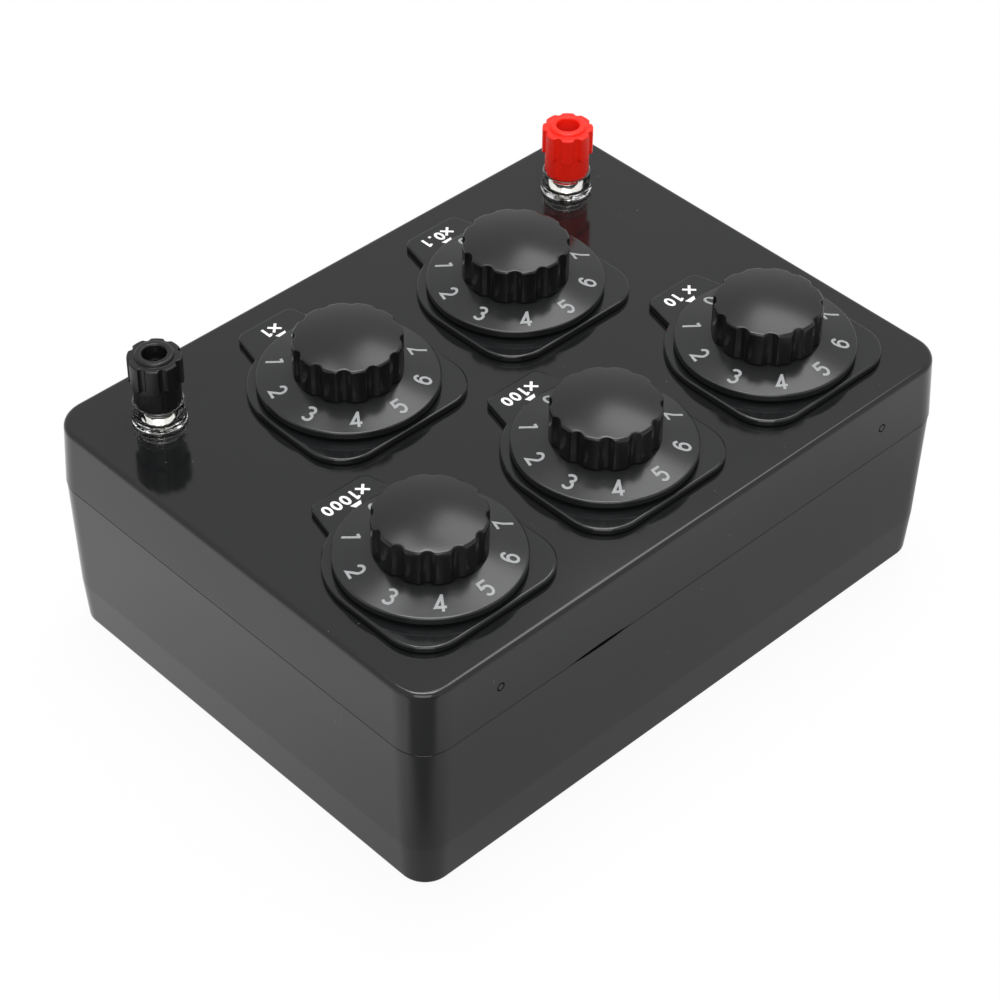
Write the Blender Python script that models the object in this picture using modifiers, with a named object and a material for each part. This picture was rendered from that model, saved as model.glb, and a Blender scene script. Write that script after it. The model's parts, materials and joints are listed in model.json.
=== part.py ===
"""Decade resistance box: a moulded case, five rotary decades under numbered dials and two binding posts.

Units are metres and +Z is up. The origin is under the middle of the case, on the surface that it stands on.
The user faces the box from -Y, with +X to the right, and the binding posts stand at the user's side.
"""

import math

import bmesh
import bpy
from mathutils import Vector

# Clearances and cutting
SEAT_GAP = 0.0003
RUNNING_GAP = 0.0003
CUT_OVERRUN = 0.001

# Case
CASE_LENGTH = 0.200
CASE_WIDTH = 0.150
CASE_HEIGHT = 0.071
CORNER_RADIUS = 0.010
UPPER_HEIGHT = 0.0202
UPPER_DRAFT = 0.0008
UPPER_WALL = 0.0025
PANEL_FILLET = 0.0011
LOWER_WALL = 0.003
LOWER_SET_BACK = 0.0004
WAIST_HEIGHT = 0.014
WAIST_INSET = 0.0021
BASE_INSET = 0.0036
BASE_FILLET = 0.0008
TONGUE_HEIGHT = 0.0032
TONGUE_ROOT = 0.004
TONGUE_WALL = 0.0014
PRY_GAP_EDGE = 0.063
PRY_GAP_LENGTH = 0.0265
PRY_GAP_HEIGHT = 0.0015
PRY_GAP_DEPTH = 0.0016
GATE_MARK_EDGE = 0.0275
GATE_MARK_DROP = 0.011
GATE_MARK_RADIUS = 0.0009
GATE_MARK_DEPTH = 0.0007

# Case bosses, screws and feet
BOSS_INSET = 0.013
BOSS_RADIUS = 0.0045
SCREW_SHANK_RADIUS = 0.0015
SCREW_GRIP = 0.021
SCREW_BITE = 0.011
SCREW_HEAD_RADIUS = 0.0030
SCREW_HEAD_HEIGHT = 0.0022
SCREW_SLOT_WIDTH = 0.0008
SCREW_SLOT_DEPTH = 0.0009
COUNTERBORE_RADIUS = 0.0036
FOOT_RADIUS = 0.006
FOOT_PROUD = 0.0015
FOOT_SINK = 0.0015
FOOT_CHAMFER = 0.0006
FOOT_INSET = 0.026

# Dials, from the panel up. The shares divide the length and width that the plates leave free
PLATE_GAP_SHARE = 0.241
FAR_MARGIN_SHARE = 0.413
NEAR_MARGIN_SHARE = 0.405
PLATE_THICKNESS = 0.0018
PLATE_HALF_WIDTH = 0.0267
PLATE_TOP_REACH = 0.0261
PLATE_BELLY_REACH = 0.0270
PLATE_UPPER_CORNER = 0.012
PLATE_LOWER_CORNER = 0.024
PLATE_TAB_REACH = 0.0363
PLATE_TAB_HALF_WIDTH = 0.0103
PLATE_TAB_ROOT_HALF = 0.0124
PLATE_TAB_CORNER = 0.003
NUT_THICKNESS = 0.0020
NUT_ACROSS_FLATS = 0.013
DIAL_RADIUS = 0.0253
DIAL_RIM_GAP = 0.0009
DIAL_RIM_THICKNESS = 0.0014
DIAL_CONE_RISE = 0.0026
DIAL_SHELL = 0.0016
KNOB_RADIUS = 0.01525
KNOB_SIDE_HEIGHT = 0.0104
KNOB_RIM_ROUND = 0.0004
KNOB_DOME_RISE = 0.0019
KNOB_DOME_SHARE = 0.55
KNOB_SPIGOT_RADIUS = 0.0077
FLUTE_COUNT = 12
FLUTE_RADIUS = 0.0016
FLUTE_DEPTH = 0.0010
SHAFT_RADIUS = 0.003
SHAFT_GRIP = 0.010

# Rotary switch, from the panel down
BUSH_RADIUS = 0.0046
INDEX_PLATE_RADIUS = 0.017
INDEX_PLATE_THICKNESS = 0.0015
SPACER_HEIGHT = 0.0080
SPACER_RADIUS = 0.0014
SPACER_PITCH_RADIUS = 0.0150
WAFER_RADIUS = 0.0168
WAFER_THICKNESS = 0.0016
CONTACT_COUNT = 10
CONTACT_PITCH_RADIUS = 0.0115
CONTACT_HALF_WIDTH = 0.0008
CONTACT_HEIGHT = 0.0008
PIN_LENGTH = 0.0048
WIPER_HUB_RADIUS = 0.0052
WIPER_REACH = 0.0124
WIPER_HALF_WIDTH = 0.0014
WIPER_THICKNESS = 0.0010
SHAFT_TAIL = 0.0012

# Circuit board with the resistors, and the two leads
BOARD_THICKNESS = 0.0016
BOARD_MARGIN = 0.002
RESISTOR_PITCH_RADIUS = 0.0165
RESISTOR_LENGTH = 0.0064
RESISTOR_RADIUS = 0.0013
RESISTOR_SINK = 0.0004
LEAD_RADIUS = 0.0008
LEAD_SHIFT = 0.009
LEAD_PAD_MARGIN = 0.002

# Binding posts
POST_INSET_X = 0.023
POST_INSET_Y = 0.021
COLLAR_FOOT_RADIUS = 0.00755
COLLAR_TOP_RADIUS = 0.0070
COLLAR_HEIGHT = 0.0064
COLLAR_RIM = 0.0006
COLLAR_WALL = 0.0012
COLLAR_FLOOR = 0.0012
STUD_RADIUS = 0.003
STUD_TOP = 0.017
STUD_FLANGE_RADIUS = 0.0054
STUD_FLANGE_THICKNESS = 0.0014
STUD_TAIL = 0.0095
SOCKET_RADIUS = 0.0021
SOCKET_DEPTH = 0.013
WASHER_RADIUS = 0.0054
WASHER_THICKNESS = 0.0010
CAP_SPIGOT_RADIUS = 0.0058
CAP_BAND_RADIUS = 0.0065
CAP_RIB_RADIUS = 0.00745
CAP_RIB_BOTTOM = 0.0128
CAP_RIB_TOP = 0.0219
CAP_RING_RADIUS = 0.0048
CAP_RING_HEIGHT = 0.0007
CAP_CHAMFER = 0.0003
CAP_GROOVE_COUNT = 8
CAP_GROOVE_RADIUS = 0.0011
CAP_GROOVE_DEPTH = 0.0010
POST_NUT_THICKNESS = 0.0024
POST_NUT_ACROSS_FLATS = 0.009

# Facets
CORNER_STEPS = 5
DIAL_STEPS = 36
KNOB_STEPS = 2 * FLUTE_COUNT
CAP_STEPS = 3 * CAP_GROOVE_COUNT
COLLAR_STEPS = 24
SMALL_STEPS = 16
GROOVE_STEPS = 8
THIN_STEPS = 8
SCREW_STEPS = 10
SWITCH_STEPS = 12
NUT_SIDES = 6
PIN_SIDES = 4
RESISTOR_SIDES = 4
LEAD_STEPS_PER_LEG = 2
SMOOTH_ANGLE = math.radians(32)

# Heights that follow from the sizes above
CASE_BOTTOM = FOOT_PROUD
PANEL_TOP = CASE_BOTTOM + CASE_HEIGHT
PANEL_UNDERSIDE = PANEL_TOP - UPPER_WALL
SEAM = PANEL_TOP - UPPER_HEIGHT
LOWER_RIM = SEAM - SEAT_GAP
PLATE_BOTTOM = PANEL_TOP + SEAT_GAP
PLATE_TOP = PLATE_BOTTOM + PLATE_THICKNESS
NUT_BOTTOM = PLATE_TOP + SEAT_GAP
NUT_TOP = NUT_BOTTOM + NUT_THICKNESS
BUSH_TOP = NUT_TOP + SEAT_GAP
RIM_BOTTOM = PLATE_TOP + DIAL_RIM_GAP
RIM_TOP = RIM_BOTTOM + DIAL_RIM_THICKNESS
CONE_TOP = RIM_TOP + DIAL_CONE_RISE
KNOB_FOOT = CONE_TOP + SEAT_GAP
KNOB_RIM = KNOB_FOOT + KNOB_SIDE_HEIGHT
SPIGOT_BOTTOM = BUSH_TOP + SEAT_GAP
SHAFT_TOP = SPIGOT_BOTTOM + SHAFT_GRIP
INDEX_TOP = PANEL_UNDERSIDE - SEAT_GAP
INDEX_BOTTOM = INDEX_TOP - INDEX_PLATE_THICKNESS
WAFER_TOP = INDEX_BOTTOM - SPACER_HEIGHT
WAFER_BOTTOM = WAFER_TOP - WAFER_THICKNESS
CONTACT_TOP = WAFER_TOP + CONTACT_HEIGHT
WIPER_BOTTOM = CONTACT_TOP + SEAT_GAP
WIPER_TOP = WIPER_BOTTOM + WIPER_THICKNESS
SHAFT_BOTTOM = WAFER_BOTTOM - SHAFT_TAIL
PIN_BOTTOM = WAFER_BOTTOM - PIN_LENGTH
BOARD_TOP = PIN_BOTTOM - SEAT_GAP
BOARD_BOTTOM = BOARD_TOP - BOARD_THICKNESS
COLLAR_BOTTOM = PANEL_TOP + SEAT_GAP
COLLAR_FLOOR_TOP = COLLAR_BOTTOM + COLLAR_FLOOR
FLANGE_BOTTOM = COLLAR_FLOOR_TOP + SEAT_GAP
FLANGE_TOP = FLANGE_BOTTOM + STUD_FLANGE_THICKNESS
WASHER_BOTTOM = FLANGE_TOP + SEAT_GAP
WASHER_TOP = WASHER_BOTTOM + WASHER_THICKNESS
COLLAR_TOP = COLLAR_BOTTOM + COLLAR_HEIGHT
CAP_BOTTOM = WASHER_TOP + SEAT_GAP
CAP_BAND_BOTTOM = COLLAR_TOP + SEAT_GAP
CAP_RIB_BOTTOM_Z = PANEL_TOP + CAP_RIB_BOTTOM
CAP_RIB_TOP_Z = PANEL_TOP + CAP_RIB_TOP
CAP_RING_TOP = CAP_RIB_TOP_Z + CAP_RING_HEIGHT
STUD_BOTTOM = PANEL_TOP - STUD_TAIL
SCREW_SEAT = SEAM - SCREW_GRIP

# Places that follow from the sizes above
FREE_LENGTH = CASE_LENGTH - 3 * 2 * PLATE_HALF_WIDTH
FREE_WIDTH = CASE_WIDTH - 2 * (PLATE_TOP_REACH + PLATE_TAB_REACH)
DIAL_PITCH = 2 * PLATE_HALF_WIDTH + PLATE_GAP_SHARE * FREE_LENGTH
FAR_ROW_Y = CASE_WIDTH / 2 - FAR_MARGIN_SHARE * FREE_WIDTH - PLATE_TOP_REACH
NEAR_ROW_Y = NEAR_MARGIN_SHARE * FREE_WIDTH + PLATE_TAB_REACH - CASE_WIDTH / 2
POST_X = CASE_LENGTH / 2 - POST_INSET_X
POST_Y = POST_INSET_Y - CASE_WIDTH / 2
BOARD_REACH = RESISTOR_PITCH_RADIUS + BOARD_MARGIN

DECADES = (
    ("tens", -DIAL_PITCH, FAR_ROW_Y),
    ("hundreds", 0.0, FAR_ROW_Y),
    ("thousands", DIAL_PITCH, FAR_ROW_Y),
    ("tenths", -DIAL_PITCH / 2, NEAR_ROW_Y),
    ("units", DIAL_PITCH / 2, NEAR_ROW_Y),
)
POSTS = (("red", -POST_X), ("black", POST_X))


def make_material(name, colour, roughness, metallic=0.0, alpha=1.0):
    material = bpy.data.materials.new(name)
    material.use_nodes = True
    shader = material.node_tree.nodes["Principled BSDF"]
    shader.inputs["Base Color"].default_value = (*colour, 1.0)
    shader.inputs["Roughness"].default_value = roughness
    shader.inputs["Metallic"].default_value = metallic
    shader.inputs["Alpha"].default_value = alpha
    return material


def clear_scene():
    for obj in list(bpy.data.objects):
        bpy.data.objects.remove(obj, do_unlink=True)


def make_collection(name):
    collection = bpy.data.collections.new(name)
    bpy.context.scene.collection.children.link(collection)
    return collection


clear_scene()
PARTS = make_collection("decade_resistance_box")
CUTTERS = make_collection("cutters")

CASE_BLACK = make_material("case_black", (0.020, 0.021, 0.022), 0.22)
KNOB_BLACK = make_material("knob_black", (0.014, 0.014, 0.015), 0.16)
RED_PLASTIC = make_material("red_plastic", (0.75, 0.020, 0.012), 0.35)
POST_BLACK = make_material("post_black", (0.016, 0.016, 0.016), 0.45)
CLEAR_PLASTIC = make_material("clear_plastic", (0.90, 0.92, 0.92), 0.05, 0.0, 0.35)
NICKEL = make_material("nickel", (0.72, 0.70, 0.66), 0.25, 1.0)
STEEL = make_material("steel", (0.55, 0.55, 0.56), 0.35, 1.0)
BRASS = make_material("brass", (0.72, 0.52, 0.24), 0.30, 1.0)
PHENOLIC = make_material("phenolic", (0.28, 0.13, 0.05), 0.55)
BOARD_GREEN = make_material("board_green", (0.03, 0.20, 0.07), 0.45)
RUBBER = make_material("rubber", (0.030, 0.030, 0.030), 0.80)
LEAD_INSULATION = make_material("lead_insulation", (0.55, 0.04, 0.03), 0.50)


def add_object(name, data, collection=PARTS):
    obj = bpy.data.objects.new(name, data)
    collection.objects.link(obj)
    return obj


def as_cutter(obj):
    """Keeps a helper out of the model."""
    if obj.name not in CUTTERS.objects:
        CUTTERS.objects.link(obj)
        PARTS.objects.unlink(obj)
    obj.hide_render = True
    obj.display_type = "WIRE"
    return obj


def bake(obj):
    """Turns the object's modifiers, or its curve, into plain welded mesh in the part's frame."""
    bpy.context.view_layer.update()
    graph = bpy.context.evaluated_depsgraph_get()
    mesh = bpy.data.meshes.new_from_object(obj.evaluated_get(graph))
    mesh.transform(obj.matrix_world)
    bm = bmesh.new()
    bm.from_mesh(mesh)
    bmesh.ops.remove_doubles(bm, verts=bm.verts, dist=SEAT_GAP / 100)
    bm.to_mesh(mesh)
    bm.free()
    name = obj.name
    bpy.data.objects.remove(obj, do_unlink=True)
    return add_object(name, mesh)


def combine(obj, others, operation):
    """Joins or cuts with each helper in turn, then bakes the result."""
    for other in others:
        as_cutter(other)
        modifier = obj.modifiers.new(operation.lower(), "BOOLEAN")
        modifier.operation = operation
        modifier.solver = "EXACT"
        modifier.object = other
    return bake(obj)


def finish(obj, material):
    """Gives a finished piece its shading and its material."""
    obj.data.materials.clear()
    obj.data.materials.append(material)
    obj.data.shade_smooth()
    obj.data.set_sharp_from_angle(angle=SMOOTH_ANGLE)
    return obj


def copies(pattern, prefix, places):
    """Numbered copies of a pattern, which is then dropped."""
    for number, (x, y) in enumerate(places, 1):
        add_object(f"{prefix}_{number}", pattern.data).location = (x, y, 0.0)
    bpy.data.objects.remove(pattern, do_unlink=True)


def solid(name, bm):
    """Wraps a bmesh as an object."""
    mesh = bpy.data.meshes.new(name)
    bm.to_mesh(mesh)
    bm.free()
    return add_object(name, mesh)


def cylinders(name, radius, bottom, top, steps, places=((0.0, 0.0),)):
    """Equal upright cylinders, one at each place."""
    bm = bmesh.new()
    for x, y in places:
        made = bmesh.ops.create_cone(
            bm, cap_ends=True, segments=steps, radius1=radius, radius2=radius, depth=top - bottom
        )
        bmesh.ops.translate(bm, verts=made["verts"], vec=(x, y, (bottom + top) / 2))
    return solid(name, bm)


def box(name, low, high):
    bm = bmesh.new()
    bmesh.ops.create_cube(bm, size=1.0)
    size = Vector(high) - Vector(low)
    bmesh.ops.scale(bm, verts=bm.verts, vec=size)
    bmesh.ops.translate(bm, verts=bm.verts, vec=(Vector(low) + Vector(high)) / 2)
    return solid(name, bm)


def turned(name, profile, steps, closed=False):
    """Turns (radius, height) points about Z. An open profile starts and ends on the axis."""
    mesh = bpy.data.meshes.new(name)
    count = len(profile)
    edges = [(i, i + 1) for i in range(count - 1)]
    if closed:
        edges.append((count - 1, 0))
    mesh.from_pydata([(radius, 0.0, height) for radius, height in profile], edges, [])
    obj = add_object(name, mesh)
    screw = obj.modifiers.new("turn", "SCREW")
    screw.axis = "Z"
    screw.steps = steps
    screw.render_steps = steps
    screw.use_merge_vertices = True
    screw.merge_threshold = SEAT_GAP / 100
    return bake(obj)


def arc(centre, radius, start, end, steps):
    """Points along an arc, in degrees, ends included."""
    angles = [math.radians(start + (end - start) * i / steps) for i in range(steps + 1)]
    return [(centre[0] + radius * math.cos(a), centre[1] + radius * math.sin(a)) for a in angles]


def outline_prism(name, points, bottom, top):
    """A flat outline as a filled 2D curve, given its thickness."""
    curve = bpy.data.curves.new(name, "CURVE")
    curve.dimensions = "2D"
    curve.fill_mode = "BOTH"
    curve.extrude = (top - bottom) / 2
    spline = curve.splines.new("POLY")
    spline.points.add(len(points) - 1)
    for point, (x, y) in zip(spline.points, points):
        point.co = (x, y, 0.0, 1.0)
    spline.use_cyclic_u = True
    obj = add_object(name, curve)
    obj.location.z = (bottom + top) / 2
    return bake(obj)


def ring_places(radius, count, turn=0.0):
    """Equally spaced places on a circle, the first one at the user's side or turned from it."""
    angles = [math.radians(turn - 90 + 360 * i / count) for i in range(count)]
    return [(radius * math.cos(a), radius * math.sin(a)) for a in angles]


def corner_places(inset):
    """The four corners of the case, this far in from its sides."""
    x = CASE_LENGTH / 2 - inset
    y = CASE_WIDTH / 2 - inset
    return [(-x, -y), (x, -y), (x, y), (-x, y)]


def case_tub(name, levels, wall, end_fillet):
    """An open shell with rounded corners. Levels are (inset, height) from its closed end to its rim."""
    bm = bmesh.new()
    bmesh.ops.create_grid(bm, x_segments=1, y_segments=1, size=1.0)
    for vertex in bm.verts:
        vertex.co.x *= CASE_LENGTH / 2 - levels[0][0]
        vertex.co.y *= CASE_WIDTH / 2 - levels[0][0]
        vertex.co.z = levels[0][1]
    face = bm.faces[:][0]
    for (last_inset, last_height), (inset, height) in zip(levels, levels[1:]):
        made = bmesh.ops.extrude_face_region(bm, geom=[face])
        ring = [item for item in made["geom"] if isinstance(item, bmesh.types.BMVert)]
        for vertex in ring:
            vertex.co.x = math.copysign(CASE_LENGTH / 2 - inset, vertex.co.x)
            vertex.co.y = math.copysign(CASE_WIDTH / 2 - inset, vertex.co.y)
            vertex.co.z = height
        if face.is_valid and last_height != levels[0][1]:
            bm.faces.remove(face)
        face = [item for item in made["geom"] if isinstance(item, bmesh.types.BMFace)][0]
    bmesh.ops.recalc_face_normals(bm, faces=bm.faces)
    upright = [
        edge for edge in bm.edges if abs(edge.verts[0].co.z - edge.verts[1].co.z) > SEAT_GAP
    ]
    bmesh.ops.bevel(
        bm, geom=upright, offset=CORNER_RADIUS, segments=CORNER_STEPS, profile=0.5, affect="EDGES"
    )
    rim = [f for f in bm.faces if all(abs(v.co.z - levels[-1][1]) < SEAT_GAP / 10 for v in f.verts)]
    bmesh.ops.delete(bm, geom=rim, context="FACES")
    end = [
        edge
        for edge in bm.edges
        if all(abs(v.co.z - levels[0][1]) < SEAT_GAP / 10 for v in edge.verts)
        and len(edge.link_faces) == 2
    ]
    bmesh.ops.bevel(bm, geom=end, offset=end_fillet, segments=2, profile=0.5, affect="EDGES")
    tub = solid(name, bm)
    shell = tub.modifiers.new("wall", "SOLIDIFY")
    shell.thickness = wall
    shell.offset = -1.0
    shell.use_even_offset = True
    tub = bake(tub)
    for vertex in tub.data.vertices:
        if abs(vertex.co.z - levels[-1][1]) < SEAT_GAP:
            vertex.co.z = levels[-1][1]
    return tub


def lens_outline(length, height, steps):
    """A lens of two equal arcs, along X and Z."""
    sagitta = height / 2
    radius = (length * length / 4 + sagitta * sagitta) / (2 * sagitta)
    half_angle = math.degrees(math.asin(length / 2 / radius))
    above = arc((0.0, sagitta - radius), radius, 90 - half_angle, 90 + half_angle, steps)
    below = arc((0.0, radius - sagitta), radius, 270 - half_angle, 270 + half_angle, steps)
    return above[:-1] + below[:-1]


def pry_gap_cutter(name):
    """The lens-shaped slot in the seam on the far wall, where the two halves are prised apart."""
    cutter = outline_prism(
        name,
        lens_outline(PRY_GAP_LENGTH, PRY_GAP_HEIGHT, THIN_STEPS),
        -PRY_GAP_DEPTH,
        CUT_OVERRUN,
    )
    for vertex in cutter.data.vertices:
        x, z, depth = vertex.co
        vertex.co = (CASE_LENGTH / 2 - PRY_GAP_EDGE - x, CASE_WIDTH / 2 + depth, SEAM + z)
    return cutter


def gate_mark_cutter(name, x):
    """A small moulding mark on the far wall."""
    wall_y = CASE_WIDTH / 2 - UPPER_DRAFT / 2
    bm = bmesh.new()
    bmesh.ops.create_cone(
        bm,
        cap_ends=True,
        segments=THIN_STEPS,
        radius1=GATE_MARK_RADIUS,
        radius2=GATE_MARK_RADIUS,
        depth=2 * GATE_MARK_DEPTH,
    )
    for vertex in bm.verts:
        across, up, out = vertex.co
        vertex.co = (x + across, wall_y + out, PANEL_TOP - GATE_MARK_DROP + up)
    bmesh.ops.recalc_face_normals(bm, faces=bm.faces)
    return solid(name, bm)


def build_upper_case():
    case = case_tub(
        "upper_case", [(UPPER_DRAFT, PANEL_TOP), (0.0, SEAM)], UPPER_WALL, PANEL_FILLET
    )
    boss_places = corner_places(BOSS_INSET)
    bosses = cylinders(
        "upper_bosses", BOSS_RADIUS, SEAM, PANEL_TOP - UPPER_WALL / 2, SMALL_STEPS, boss_places
    )
    case = combine(case, [bosses], "UNION")
    pilot_top = SEAM + SCREW_BITE + SEAT_GAP
    pilots = cylinders(
        "screw_pilots",
        SCREW_SHANK_RADIUS + RUNNING_GAP,
        SEAM - CUT_OVERRUN,
        pilot_top,
        THIN_STEPS,
        boss_places,
    )
    bush_holes = cylinders(
        "bush_holes",
        BUSH_RADIUS + RUNNING_GAP,
        PANEL_UNDERSIDE - CUT_OVERRUN,
        PANEL_TOP + CUT_OVERRUN,
        SMALL_STEPS,
        [(x, y) for _, x, y in DECADES],
    )
    stud_holes = cylinders(
        "stud_holes",
        STUD_RADIUS + RUNNING_GAP,
        PANEL_UNDERSIDE - CUT_OVERRUN,
        PANEL_TOP + CUT_OVERRUN,
        SMALL_STEPS,
        [(x, POST_Y) for _, x in POSTS],
    )
    mark_x = CASE_LENGTH / 2 - GATE_MARK_EDGE
    marks = [gate_mark_cutter("gate_mark_left", -mark_x), gate_mark_cutter("gate_mark_right", mark_x)]
    cuts = [pilots, bush_holes, stud_holes, pry_gap_cutter("upper_pry_gap"), *marks]
    return finish(combine(case, cuts, "DIFFERENCE"), CASE_BLACK)


def case_band(name, inset, bottom, top, wall):
    """A ring of wall that follows the case's outline, such as the tongue in the seam."""
    bm = bmesh.new()
    bmesh.ops.create_grid(bm, x_segments=1, y_segments=1, size=1.0)
    bmesh.ops.delete(bm, geom=bm.faces[:], context="FACES_ONLY")
    made = bmesh.ops.extrude_edge_only(bm, edges=bm.edges[:])
    raised = {item for item in made["geom"] if isinstance(item, bmesh.types.BMVert)}
    for vertex in bm.verts:
        vertex.co.x = math.copysign(CASE_LENGTH / 2 - inset, vertex.co.x)
        vertex.co.y = math.copysign(CASE_WIDTH / 2 - inset, vertex.co.y)
        vertex.co.z = top if vertex in raised else bottom
    upright = [edge for edge in bm.edges if edge.verts[0].co.z != edge.verts[1].co.z]
    bmesh.ops.bevel(
        bm,
        geom=upright,
        offset=CORNER_RADIUS - inset,
        segments=CORNER_STEPS,
        profile=0.5,
        affect="EDGES",
    )
    bmesh.ops.recalc_face_normals(bm, faces=bm.faces)
    if sum(face.normal.dot(face.calc_center_median()) for face in bm.faces) < 0:
        bmesh.ops.reverse_faces(bm, faces=bm.faces)
    band = solid(name, bm)
    shell = band.modifiers.new("wall", "SOLIDIFY")
    shell.thickness = wall
    shell.offset = -1.0
    shell.use_even_offset = True
    return bake(band)


def build_lower_case():
    case = case_tub(
        "lower_case",
        [
            (BASE_INSET, CASE_BOTTOM),
            (WAIST_INSET, CASE_BOTTOM + WAIST_HEIGHT),
            (LOWER_SET_BACK, LOWER_RIM),
        ],
        LOWER_WALL,
        BASE_FILLET,
    )
    tongue = case_band(
        "tongue",
        UPPER_WALL + RUNNING_GAP,
        LOWER_RIM - TONGUE_ROOT,
        LOWER_RIM + TONGUE_HEIGHT,
        TONGUE_WALL,
    )
    boss_places = corner_places(BOSS_INSET)
    bosses = cylinders(
        "lower_bosses",
        BOSS_RADIUS,
        CASE_BOTTOM + LOWER_WALL / 2,
        LOWER_RIM,
        SMALL_STEPS,
        boss_places,
    )
    case = combine(case, [tongue, bosses], "UNION")
    counterbores = cylinders(
        "counterbores",
        COUNTERBORE_RADIUS,
        CASE_BOTTOM - CUT_OVERRUN,
        SCREW_SEAT,
        SMALL_STEPS,
        boss_places,
    )
    shank_holes = cylinders(
        "shank_holes",
        SCREW_SHANK_RADIUS + RUNNING_GAP,
        SCREW_SEAT - CUT_OVERRUN,
        LOWER_RIM + CUT_OVERRUN,
        THIN_STEPS,
        boss_places,
    )
    foot_pockets = cylinders(
        "foot_pockets",
        FOOT_RADIUS + RUNNING_GAP,
        CASE_BOTTOM - CUT_OVERRUN,
        CASE_BOTTOM + FOOT_SINK,
        SMALL_STEPS,
        corner_places(FOOT_INSET),
    )
    cuts = [counterbores, shank_holes, foot_pockets, pry_gap_cutter("lower_pry_gap")]
    return finish(combine(case, cuts, "DIFFERENCE"), CASE_BLACK)


def build_case_screws():
    """Four slotted pan-head screws, driven up from below."""
    head_top = SCREW_SEAT - SEAT_GAP
    head_bottom = head_top - SCREW_HEAD_HEIGHT
    profile = [
        (0.0, SEAM + SCREW_BITE),
        (SCREW_SHANK_RADIUS, SEAM + SCREW_BITE),
        (SCREW_SHANK_RADIUS, head_top),
        (SCREW_HEAD_RADIUS, head_top),
        (SCREW_HEAD_RADIUS, head_bottom + SCREW_HEAD_HEIGHT / 3),
        (SCREW_HEAD_RADIUS * 2 / 3, head_bottom),
        (0.0, head_bottom),
    ]
    slot = box(
        "screw_slot",
        (-SCREW_HEAD_RADIUS - CUT_OVERRUN, -SCREW_SLOT_WIDTH / 2, head_bottom - CUT_OVERRUN),
        (SCREW_HEAD_RADIUS + CUT_OVERRUN, SCREW_SLOT_WIDTH / 2, head_bottom + SCREW_SLOT_DEPTH),
    )
    pattern = combine(turned("screw_pattern", profile, SCREW_STEPS), [slot], "DIFFERENCE")
    finish(pattern, STEEL)
    copies(pattern, "case_screw", corner_places(BOSS_INSET))


def build_feet():
    """Four rubber feet pressed into pockets under the case."""
    profile = [
        (0.0, CASE_BOTTOM + FOOT_SINK - SEAT_GAP),
        (FOOT_RADIUS, CASE_BOTTOM + FOOT_SINK - SEAT_GAP),
        (FOOT_RADIUS, FOOT_CHAMFER),
        (FOOT_RADIUS - FOOT_CHAMFER, 0.0),
        (0.0, 0.0),
    ]
    pattern = finish(turned("foot_pattern", profile, SMALL_STEPS), RUBBER)
    copies(pattern, "foot", corner_places(FOOT_INSET))


def plate_outline():
    """A rounded square whose lower half is an arc, with a tab for the label at the user's side."""
    half = PLATE_HALF_WIDTH
    high = PLATE_UPPER_CORNER
    low = PLATE_LOWER_CORNER
    tab_x = PLATE_TAB_HALF_WIDTH - PLATE_TAB_CORNER
    tab_y = PLATE_TAB_CORNER - PLATE_TAB_REACH
    low_centre_y = low - PLATE_BELLY_REACH
    reach = math.degrees(math.asin((PLATE_TAB_ROOT_HALF - half + low) / low))
    return (
        arc((half - high, PLATE_TOP_REACH - high), high, 0, 90, CORNER_STEPS)
        + arc((high - half, PLATE_TOP_REACH - high), high, 90, 180, CORNER_STEPS)
        + arc((low - half, low_centre_y), low, 180, 270 - reach, CORNER_STEPS)
        + arc((-tab_x, tab_y), PLATE_TAB_CORNER, 180, 270, CORNER_STEPS // 2)
        + arc((tab_x, tab_y), PLATE_TAB_CORNER, 270, 360, CORNER_STEPS // 2)
        + arc((half - low, low_centre_y), low, 270 + reach, 360, CORNER_STEPS)
    )


def plate_pattern():
    plate = outline_prism("plate_pattern", plate_outline(), PLATE_BOTTOM, PLATE_TOP)
    hole = cylinders(
        "plate_hole",
        BUSH_RADIUS + RUNNING_GAP,
        PLATE_BOTTOM - CUT_OVERRUN,
        PLATE_TOP + CUT_OVERRUN,
        SMALL_STEPS,
    )
    return finish(combine(plate, [hole], "DIFFERENCE"), CASE_BLACK)


def nut_pattern(name, across_flats, hole_radius, bottom, top):
    nut = cylinders(name, across_flats / math.sqrt(3), bottom, top, NUT_SIDES)
    hole = cylinders(
        f"{name}_hole", hole_radius, bottom - CUT_OVERRUN, top + CUT_OVERRUN, SMALL_STEPS
    )
    return finish(combine(nut, [hole], "DIFFERENCE"), NICKEL)


def dial_pattern():
    """The numbered disc: a shallow cone with a hole for the knob's spigot."""
    hole = KNOB_SPIGOT_RADIUS + RUNNING_GAP
    profile = [
        (hole, CONE_TOP),
        (KNOB_RADIUS, CONE_TOP),
        (DIAL_RADIUS, RIM_TOP),
        (DIAL_RADIUS, RIM_BOTTOM),
        (KNOB_RADIUS, CONE_TOP - DIAL_SHELL),
        (hole, CONE_TOP - DIAL_SHELL),
    ]
    return finish(turned("dial_pattern", profile, DIAL_STEPS, closed=True), CASE_BLACK)


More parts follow.
